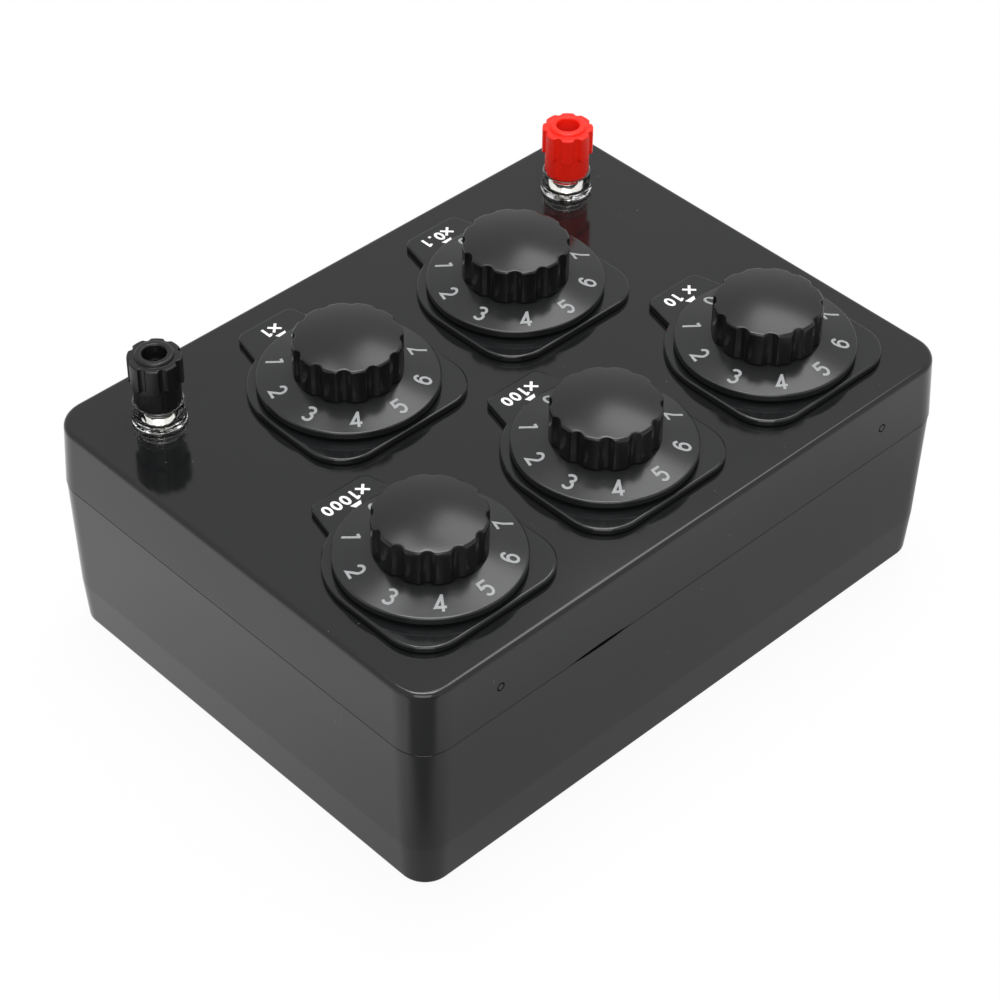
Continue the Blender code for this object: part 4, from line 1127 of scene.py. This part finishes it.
def build_labels(settings):
    """The multiplier and the pointer on each plate."""
    white = printed_ink("marking_white", settings.tint)
    for decade, (x, y) in DIALS.items():
        text = LABELS[decade]
        widths = [settings.advance * (0.62 if sign in ". " else 1.0) for sign in text]
        left = -sum(widths) / 2
        signs = []
        for number, (sign, width) in enumerate(zip(text, widths)):
            if sign != " ":
                made = glyph(
                    f"sign_{number}", sign, settings.width, settings.height, settings.stroke, settings.ink
                )
                across = left + width / 2 + settings.aside
                made.data.transform(Matrix.Translation((across, -settings.drop, 0.0)))
                signs.append(made)
            left += width
        half, near = settings.pointer_base / 2, -settings.pointer_near
        pointer = [(-half, near), (half, near), (0.0, -settings.pointer_far)]
        signs.append(skin("pointer", [[(px, py, z) for px, py in pointer] for z in (0.0, settings.ink)]))
        bm = bmesh.new()
        for made in signs:
            bm.from_mesh(made.data)
        drop(*signs)
        bmesh.ops.translate(bm, verts=bm.verts, vec=(x, y, PLATE_HIGH.z + INK_LIFT))
        mesh = bpy.data.meshes.new(f"label_{decade}")
        bm.to_mesh(mesh)
        bm.free()
        hand_over(dress(link(f"label_{decade}", mesh), white), "case", "marking_white")


def build_knobs(settings):
    """The five fluted knobs, from one pattern."""
    black = moulded_plastic("knob_black", settings.tint, 0.23, 1.2)
    rim = KNOB_HIGH.z - settings.dome_rise
    foot = rim - settings.side_height
    wide_rings = (0.0, 0.04, 0.1, 0.2, 0.3, 0.4, 0.5, 0.6, 0.7, 0.78)
    rim_rings = (0.85, 0.88, 0.905, 0.925, 0.94, 0.955)
    dome = [
        (KNOB_RADIUS * share, KNOB_HIGH.z - settings.dome_rise * share**2, 0.0)
        for share in wide_rings + rim_rings
    ]
    corners = dome + [
        (KNOB_RADIUS, rim, settings.rim_round),
        (KNOB_RADIUS, foot, settings.foot_round),
        (settings.spigot_radius, foot, MM / 5),
        (settings.spigot_radius, KNOB_LOW.z, MM / 5),
        (settings.shaft_hole, KNOB_LOW.z, MM / 5),
        (settings.shaft_hole, KNOB_LOW.z + settings.shaft_grip, MM / 5),
        (0.0, KNOB_LOW.z + settings.shaft_grip, 0.0),
    ]
    profile = braced(filleted(corners, 5), 0.5 * MM)
    body = turned("knob_pattern", profile, settings.flutes * settings.steps_per_flute)
    values = {
        "Count": settings.flutes,
        "Outer Radius": KNOB_RADIUS,
        "Core Radius": KNOB_RADIUS,
        "Flute Radius": settings.flute_radius,
        "Flute Depth": settings.flute_depth,
        "Softness": settings.softness,
        "End Height": 0.0,
        "End Rounding": settings.flute_radius,
        "Material": black,
    }
    pattern = dress(run_tree(body, flute_tree(), values), black, 50.0)
    for decade, (x, y) in DIALS.items():
        piece = place_copy(pattern, f"fluted_knob_{decade}", x, y)
        hand_over(piece, f"selector_{decade}", "knob_plastic", f"knob_{decade}")
    drop(pattern)


def even_rows(bottom, top, spacing, radius):
    """Plain profile points up a straight side, for a tree to shape."""
    rows = round((top - bottom) / spacing)
    return [(radius, bottom + (top - bottom) * row / rows, 0.0) for row in range(1, rows)]


def build_post_caps(settings):
    """The two ribbed caps, each with a raised ring round its mouth."""
    tints = {
        "red": moulded_plastic("cap_red", settings.red, 0.42, 2.0, shine=1.4),
        "black": moulded_plastic("cap_black", settings.black, 0.32, 2.5, shine=1.4),
    }
    rib_top = CAP_HIGH.z - settings.ring_height
    rib_bottom = PANEL_TOP + settings.rib_bottom
    band_bottom = COLLAR_HIGH.z + 0.3 * MM
    outer, band = settings.rib_radius, settings.band_radius
    corners = [
        (settings.mouth_radius, CAP_LOW.z, MM / 5),
        (settings.spigot_radius, CAP_LOW.z, MM / 5),
        (settings.spigot_radius, band_bottom, MM / 8),
        (band, band_bottom, MM / 4),
        *even_rows(band_bottom + MM / 2, rib_bottom - MM / 3, MM, band),
        *even_rows(rib_bottom - MM / 3, rib_bottom + 2.4 * MM, MM / 8, outer),
        *even_rows(rib_bottom + 2.4 * MM, rib_top - MM / 2, MM, outer),
        (outer, rib_top, 0.45 * MM),
        (outer - 1.1 * MM, rib_top, 0.0),
        (settings.ring_radius, rib_top, MM / 5),
        (settings.ring_radius, CAP_HIGH.z, 0.75 * MM),
        (settings.mouth_radius, CAP_HIGH.z, 0.65 * MM),
    ]
    profile = braced(filleted(corners, 5, closed=True), 0.3 * MM, closed=True)
    body = turned("cap_pattern", profile, 192, closed=True)
    values = {
        "Count": settings.ribs,
        "Outer Radius": outer,
        "Core Radius": band,
        "Flute Radius": settings.groove_radius,
        "Flute Depth": settings.groove_depth,
        "Softness": 0.35 * MM,
        "End Height": rib_bottom,
        "End Rounding": settings.rib_end_round,
        "Material": tints["red"],
    }
    pattern = run_tree(body, flute_tree(), values)
    for side, (x, y) in POSTS.items():
        piece = dress(place_copy(pattern, f"finger_cap_{side}", x, y), tints[side], 60.0)
        hand_over(piece, f"post_head_{side}", f"post_{side}", f"post_cap_{side}")
    drop(pattern)


def build_post_collars(settings):
    """The two clear collars that the caps screw down into."""
    acrylic = clear_acrylic("clear_acrylic")
    foot, top = settings.collar_foot_radius, settings.collar_top_radius
    inner = foot - settings.collar_wall
    floor = COLLAR_LOW.z + settings.collar_floor
    corners = [
        (top - 0.6 * MM, COLLAR_HIGH.z, 0.25 * MM),
        (top, COLLAR_HIGH.z, 0.25 * MM),
        (foot - 0.25 * MM, COLLAR_LOW.z + 1.8 * MM, MM),
        (foot, COLLAR_LOW.z + 1.1 * MM, 0.4 * MM),
        (foot, COLLAR_LOW.z, 0.2 * MM),
        (settings.mouth_radius, COLLAR_LOW.z, 0.1 * MM),
        (settings.mouth_radius, floor, 0.1 * MM),
        (inner, floor, 0.4 * MM),
    ]
    pattern = turned("collar_pattern", filleted(corners, 5, closed=True), 96, closed=True)
    dress(pattern, acrylic)
    for side, (x, y) in POSTS.items():
        piece = place_copy(pattern, f"clear_collar_{side}", x, y)
        hand_over(piece, "case", "clear_plastic", f"post_collar_{side}")
    drop(pattern)


def build_post_studs(settings):
    """The two threaded posts with a socket and a knurled cone, and their washers."""
    nickel = plated_metal("bright_nickel", (0.86, 0.84, 0.80), 0.16, 0.6)
    shank = settings.stud_radius
    flange_low = COLLAR_LOW.z + settings.collar_floor + 0.3 * MM
    flange_high = flange_low + settings.flange_thickness
    corners = [
        (0.0, STUD_HIGH.z - settings.socket_depth, 0.0),
        (settings.socket_radius, STUD_HIGH.z - settings.socket_depth, 0.3 * MM),
        (settings.socket_radius, STUD_HIGH.z, 0.25 * MM),
        (shank, STUD_HIGH.z, 0.25 * MM),
        *reversed(even_rows(flange_high + MM / 2, STUD_HIGH.z - MM / 2, 0.1 * MM, shank)),
        (shank, flange_high, 0.2 * MM),
        (settings.flange_neck, flange_high, 0.25 * MM),
        (settings.flange_radius, flange_low + 0.4 * MM, 0.2 * MM),
        (settings.flange_radius, flange_low, 0.15 * MM),
        (shank, flange_low, 0.2 * MM),
        *reversed(even_rows(STUD_LOW.z + MM / 2, flange_low - MM / 2, 0.1 * MM, shank)),
        (shank, STUD_LOW.z, 0.3 * MM),
        (0.0, STUD_LOW.z, 0.0),
    ]
    body = turned("stud_pattern", filleted(corners, 4), 72)
    thread = {
        "Radius": shank,
        "Pitch": settings.thread_pitch,
        "Depth": settings.thread_depth,
        "Bottom": flange_high + MM / 4,
        "Top": STUD_HIGH.z - MM,
        "Material": nickel,
    }
    pattern = run_tree(body, thread_tree(), thread)
    knurl = {
        "Count": 24,
        "Outer Radius": settings.flange_radius,
        "Core Radius": settings.flange_radius,
        "Flute Radius": 0.4 * MM,
        "Flute Depth": 0.25 * MM,
        "Softness": 0.1 * MM,
        "End Height": 0.0,
        "End Rounding": 0.4 * MM,
        "Material": nickel,
    }
    pattern = dress(run_tree(pattern, flute_tree(), knurl), nickel, 45.0)
    washer_radius = (WASHER_HIGH.x - WASHER_LOW.x) / 2
    washer_corners = [
        (settings.mouth_radius, WASHER_HIGH.z, 0.1 * MM),
        (washer_radius, WASHER_HIGH.z, 0.25 * MM),
        (washer_radius, WASHER_LOW.z, 0.25 * MM),
        (settings.mouth_radius, WASHER_LOW.z, 0.1 * MM),
    ]
    washer = turned("washer_pattern", filleted(washer_corners, 4, closed=True), 72, closed=True)
    dress(washer, nickel)
    for side, (x, y) in POSTS.items():
        piece = place_copy(pattern, f"threaded_post_{side}", x, y)
        hand_over(piece, "case", "nickel", f"post_stud_{side}")
        piece = place_copy(washer, f"wire_washer_{side}", x, y)
        hand_over(piece, f"post_washer_{side}", "nickel", f"clamp_washer_{side}")
    drop(pattern, washer)


def build_underside():
    """Feet and screws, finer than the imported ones."""
    rubber = soft_rubber("foot_rubber", (0.028, 0.028, 0.028))
    steel = plated_metal("zinc_steel", (0.60, 0.60, 0.61), 0.32, 0.4)
    foot_radius = (FOOT_HIGH.x - FOOT_LOW.x) / 2
    corners = [
        (0.0, FOOT_HIGH.z, 0.0),
        (foot_radius, FOOT_HIGH.z, 0.2 * MM),
        (foot_radius, 0.0, 0.6 * MM),
        (foot_radius * 0.72, 0.0, 0.2 * MM),
        (foot_radius * 0.66, 0.35 * MM, 0.2 * MM),
        (0.0, 0.35 * MM, 0.0),
    ]
    foot = dress(turned("foot_pattern", filleted(corners, 4), 64), rubber)
    for number, (x, y) in enumerate(FEET, 1):
        piece = place_copy(foot, f"rubber_foot_{number}", x, y)
        hand_over(piece, "case", "foot_rubber", f"foot_{number}")
    head_radius = (SCREW_HIGH.x - SCREW_LOW.x) / 2
    head_top = SCREW_LOW.z + SCREW_HEAD_HEIGHT
    shank = 1.5 * MM
    corners = [
        (0.0, SCREW_LOW.z, 0.0),
        (head_radius * 0.6, SCREW_LOW.z, 0.6 * MM),
        (head_radius, SCREW_LOW.z + 0.8 * MM, 0.5 * MM),
        (head_radius, head_top, 0.1 * MM),
        (shank, head_top, 0.2 * MM),
        *even_rows(head_top + MM / 2, SCREW_HIGH.z - 0.6 * MM, 0.15 * MM, shank),
        (shank, SCREW_HIGH.z, 0.4 * MM),
        (0.0, SCREW_HIGH.z, 0.0),
    ]
    body = turned("screw_pattern", filleted(corners, 4), 32)
    thread = {
        "Radius": shank,
        "Pitch": 0.9 * MM,
        "Depth": 0.22 * MM,
        "Bottom": SEAM,
        "Top": SCREW_HIGH.z,
        "Material": steel,
    }
    body = run_tree(body, thread_tree(), thread)
    half = 0.4 * MM
    outline = [(-4 * MM, -half), (4 * MM, -half), (4 * MM, half), (-4 * MM, half)]
    depths = (SCREW_LOW.z - MM, SCREW_LOW.z + 0.9 * MM)
    slot = skin("slot", [[(x, y, z) for x, y in outline] for z in depths])
    screw = dress(carve(body, [slot]), steel)
    for number, (x, y) in enumerate(SCREWS, 1):
        piece = place_copy(screw, f"slotted_screw_{number}", x, y)
        hand_over(piece, "case", "screw_steel", f"case_screw_{number}")
    drop(foot, screw)


def finish_inner_parts():
    """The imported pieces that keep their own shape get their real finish."""
    finishes = {
        "switch_": phenolic_board("switch_phenolic", (0.30, 0.14, 0.06)),
        "bush_nut_": plated_metal("nut_nickel", (0.76, 0.74, 0.70), 0.26),
        "post_nut_": plated_metal("post_nut_nickel", (0.76, 0.74, 0.70), 0.26),
        "shaft_": plated_metal("shaft_steel", (0.62, 0.62, 0.62), 0.28, 0.8),
        "wiper_": plated_metal("wiper_brass", (0.80, 0.60, 0.30), 0.30),
        "circuit_board": laminate_board("circuit_laminate", (0.03, 0.20, 0.07)),
        "lead_red": soft_rubber("lead_red", (0.62, 0.04, 0.03), 0.6),
        "lead_black": soft_rubber("lead_black", (0.03, 0.03, 0.03), 0.6),
    }
    for name, node in frame["nodes"].items():
        for prefix, material in finishes.items():
            if name.startswith(prefix):
                for slot in node.material_slots:
                    slot.material = material


def aim_light(name, azimuth, elevation, distance, size, radiance):
    """A soft light that looks at the middle of the panel. Its radiance is what a mirror would show."""
    data = bpy.data.lights.new(name, "AREA")
    data.shape = "RECTANGLE"
    data.size, data.size_y = size
    data.energy = radiance * math.pi * size[0] * size[1]
    light = link(name, data)
    a, e = math.radians(azimuth), math.radians(elevation)
    back = Vector((math.sin(a) * math.cos(e), -math.cos(a) * math.cos(e), math.sin(e)))
    light.location = Vector((0.0, 0.0, PANEL_TOP)) + back * distance
    light.rotation_mode = "QUATERNION"
    light.rotation_quaternion = (-back).to_track_quat("-Z", "Y")


def ray_kinds(graph, *kinds):
    """1 for rays of any of these kinds, 0 for the others."""
    path = graph.tree.nodes.new("ShaderNodeLightPath")
    rays = [Field(graph, path.outputs[f"Is {kind} Ray"]) for kind in kinds]
    for ray in rays[1:]:
        rays[0] = graph.maths("MAXIMUM", rays[0], ray)
    return rays[0]


def painted_floor_light_and_shade(finish):
    """How bright mirrors see the floor, as painted light and shade: painted shade by the case and beyond its
    +X +Y corner, and painted light towards +X -Y.
    """
    split = finish.node("ShaderNodeSeparateXYZ", None, {"Vector": finish.place}).socket.node
    x, y = (Field(finish, split.outputs[axis]) for axis in "XY")
    beside_x = finish.maths("MAXIMUM", abs(x) - HALF_LENGTH, 0.0)
    beside_y = finish.maths("MAXIMUM", abs(y) - HALF_WIDTH, 0.0)
    away = finish.smooth_step(finish.maths("SQRT", beside_x * beside_x + beside_y * beside_y), 0.015, 0.10)
    right = finish.smooth_step(x - y, -0.05, 0.26)
    ahead = finish.smooth_step(x, HALF_LENGTH - 0.012, HALF_LENGTH + 0.02)
    ahead = ahead * finish.smooth_step(y, HALF_WIDTH - 0.012, HALF_WIDTH + 0.02)
    # Painted light and shade: darker beside the case, lighter farther out and towards +X -Y, and darker again
    # beyond the +X +Y corner.
    bright = FLOOR_PAINTED_SHADE_BY_CASE + FLOOR_FARTHER_OUT * away + FLOOR_PAINTED_LIGHT_TO_ONE_SIDE * right
    return bright * (1.0 - FLOOR_CORNER_PAINTED_SHADE * ahead)


def floor_finish(settings):
    """The pale floor: it takes the shadow and is seen as a plain bright ground, while mirrors see it with
    painted shade and painted light.
    """
    finish = Finish("studio_floor")
    grain = finish.noise(6.0, 2.0)
    pale = finish.mix(grain, shade_of(settings.floor_tint, 0.99), shade_of(settings.floor_tint, 1.01))
    finish.set("Base Color", pale)
    finish.set("Roughness", 0.9)
    finish.shader.inputs["Specular IOR Level"].default_value = 0.0
    mirrored = ray_kinds(finish, "Glossy")
    # Only mirrors see the painted light and shade; camera and transmission rays see the floor plain.
    tone = 1.0 - mirrored * (1.0 - painted_floor_light_and_shade(finish))
    glow = finish.node("ShaderNodeEmission", None, {"Color": finish.mix(tone, BLACK, WHITE), "Strength": 1.0})
    both = finish.node(
        "ShaderNodeMixShader",
        None,
        {
            0: FLOOR_SEEN_AS_PLAIN * ray_kinds(finish, "Camera", "Glossy", "Transmission"),
            1: Field(finish, finish.shader.outputs[0]),
            2: glow,
        },
    )
    finish.join(both, finish.out.inputs["Surface"])
    return finish.material


def lay_floor(settings):
    material = floor_finish(settings)
    bm = bmesh.new()
    bmesh.ops.create_grid(bm, x_segments=1, y_segments=1, size=settings.floor_reach)
    mesh = bpy.data.meshes.new("studio_floor")
    bm.to_mesh(mesh)
    bm.free()
    floor = link("studio_floor", mesh)
    mesh.materials.append(material)


def light_world(scene):
    """An even world that is brighter where it is seen or mirrored."""
    world = bpy.data.worlds.new("studio")
    scene.world = world
    world.use_nodes = True
    graph = Graph(world.node_tree)
    background = world.node_tree.nodes["Background"]
    background.inputs["Color"].default_value = WHITE
    seen = ray_kinds(graph, "Camera", "Transmission")
    mirrored = ray_kinds(graph, "Glossy")
    strength = WORLD_LIGHT + WORLD_SEEN * seen + WORLD_MIRRORED * mirrored
    graph.join(strength, background.inputs["Strength"])


def place_camera(scene, settings):
    data = bpy.data.cameras.new("camera")
    data.lens = settings.lens
    data.sensor_width = 36.0
    data.clip_start = 0.01
    data.clip_end = 20.0
    camera = link("camera", data)
    camera.location = settings.camera_place
    view = Vector(settings.camera_aim) - Vector(settings.camera_place)
    camera.rotation_mode = "QUATERNION"
    roll = Quaternion((0.0, 0.0, 1.0), settings.camera_roll)
    camera.rotation_quaternion = view.to_track_quat("-Z", "Y") @ roll
    scene.camera = camera


def build_stage(settings):
    """The floor, the world, the lights and the camera."""
    scene = bpy.context.scene
    scene.view_settings.view_transform = "Standard"
    lay_floor(settings)
    light_world(scene)
    for light in LIGHTS:
        aim_light(*light)
    place_camera(scene, settings)


class RESISTANCE_BOX_OT_case(bpy.types.Operator):
    """Mould both halves of the case"""

    bl_idname = "resistance_box.case"
    bl_label = "Case"
    bl_options = {"REGISTER", "UNDO"}

    def execute(self, context):
        build_case(context.scene.resistance_box.case)
        return {"FINISHED"}


class RESISTANCE_BOX_OT_plates(bpy.types.Operator):
    """Cut the five label plates"""

    bl_idname = "resistance_box.plates"
    bl_label = "Plates"
    bl_options = {"REGISTER", "UNDO"}

    def execute(self, context):
        build_plates(context.scene.resistance_box.plates)
        return {"FINISHED"}


class RESISTANCE_BOX_OT_dials(bpy.types.Operator):
    """Turn the five numbered discs"""

    bl_idname = "resistance_box.dials"
    bl_label = "Discs"
    bl_options = {"REGISTER", "UNDO"}

    def execute(self, context):
        build_dials(context.scene.resistance_box.dials)
        return {"FINISHED"}


class RESISTANCE_BOX_OT_digits(bpy.types.Operator):
    """Print 0 to 9 on each disc"""

    bl_idname = "resistance_box.digits"
    bl_label = "Digits"
    bl_options = {"REGISTER", "UNDO"}

    def execute(self, context):
        settings = context.scene.resistance_box
        build_digits(settings.digits, settings.dials)
        return {"FINISHED"}


class RESISTANCE_BOX_OT_labels(bpy.types.Operator):
    """Print the labels and pointers"""

    bl_idname = "resistance_box.labels"
    bl_label = "Labels"
    bl_options = {"REGISTER", "UNDO"}

    def execute(self, context):
        build_labels(context.scene.resistance_box.labels)
        return {"FINISHED"}


class RESISTANCE_BOX_OT_knobs(bpy.types.Operator):
    """Mould the five fluted knobs"""

    bl_idname = "resistance_box.knobs"
    bl_label = "Knobs"
    bl_options = {"REGISTER", "UNDO"}

    def execute(self, context):
        build_knobs(context.scene.resistance_box.knobs)
        return {"FINISHED"}


class RESISTANCE_BOX_OT_post_caps(bpy.types.Operator):
    """Mould both post caps"""

    bl_idname = "resistance_box.post_caps"
    bl_label = "Post caps"
    bl_options = {"REGISTER", "UNDO"}

    def execute(self, context):
        build_post_caps(context.scene.resistance_box.posts)
        return {"FINISHED"}


class RESISTANCE_BOX_OT_collars(bpy.types.Operator):
    """Mould the clear collars"""

    bl_idname = "resistance_box.collars"
    bl_label = "Collars"
    bl_options = {"REGISTER", "UNDO"}

    def execute(self, context):
        build_post_collars(context.scene.resistance_box.posts)
        return {"FINISHED"}


class RESISTANCE_BOX_OT_studs(bpy.types.Operator):
    """Turn the studs and washers"""

    bl_idname = "resistance_box.studs"
    bl_label = "Studs"
    bl_options = {"REGISTER", "UNDO"}

    def execute(self, context):
        build_post_studs(context.scene.resistance_box.posts)
        return {"FINISHED"}


class RESISTANCE_BOX_OT_underside(bpy.types.Operator):
    """Fit the feet and the screws"""

    bl_idname = "resistance_box.underside"
    bl_label = "Underside"
    bl_options = {"REGISTER", "UNDO"}

    def execute(self, context):
        build_underside()
        return {"FINISHED"}


class RESISTANCE_BOX_OT_inner_parts(bpy.types.Operator):
    """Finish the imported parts"""

    bl_idname = "resistance_box.inner_parts"
    bl_label = "Inner parts"
    bl_options = {"REGISTER", "UNDO"}

    def execute(self, context):
        finish_inner_parts()
        return {"FINISHED"}


class RESISTANCE_BOX_OT_stage(bpy.types.Operator):
    """Set the floor, lights and camera"""

    bl_idname = "resistance_box.stage"
    bl_label = "Stage"
    bl_options = {"REGISTER", "UNDO"}

    def execute(self, context):
        build_stage(context.scene.resistance_box.stage)
        return {"FINISHED"}


OPERATORS = (
    RESISTANCE_BOX_OT_case,
    RESISTANCE_BOX_OT_plates,
    RESISTANCE_BOX_OT_dials,
    RESISTANCE_BOX_OT_digits,
    RESISTANCE_BOX_OT_labels,
    RESISTANCE_BOX_OT_knobs,
    RESISTANCE_BOX_OT_post_caps,
    RESISTANCE_BOX_OT_collars,
    RESISTANCE_BOX_OT_studs,
    RESISTANCE_BOX_OT_underside,
    RESISTANCE_BOX_OT_inner_parts,
    RESISTANCE_BOX_OT_stage,
)


class RESISTANCE_BOX_PT_panel(bpy.types.Panel):
    """Lists the steps in the sidebar"""

    bl_idname = "RESISTANCE_BOX_PT_panel"
    bl_label = "Resistance Box"
    bl_space_type = "VIEW_3D"
    bl_region_type = "UI"
    bl_category = "Resistance Box"

    def draw(self, context):
        for operator in OPERATORS:
            self.layout.operator(operator.bl_idname)


CLASSES = (
    CaseSettings,
    PlateSettings,
    DialSettings,
    DigitSettings,
    LabelSettings,
    KnobSettings,
    PostSettings,
    StageSettings,
    BoxSettings,
    *OPERATORS,
    RESISTANCE_BOX_PT_panel,
)


def register():
    for cls in CLASSES:
        bpy.utils.register_class(cls)
    bpy.types.Scene.resistance_box = bpy.props.PointerProperty(type=BoxSettings)


def unregister():
    del bpy.types.Scene.resistance_box
    for cls in reversed(CLASSES):
        bpy.utils.unregister_class(cls)


def main():
    """Registers the add-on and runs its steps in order."""
    register()
    steps = bpy.ops.resistance_box
    steps.case()
    steps.plates()
    steps.dials()
    steps.digits()
    steps.labels()
    steps.knobs()
    steps.post_caps()
    steps.collars()
    steps.studs()
    steps.underside()
    steps.inner_parts()
    steps.stage()


if __name__ == "__main__":
    main()
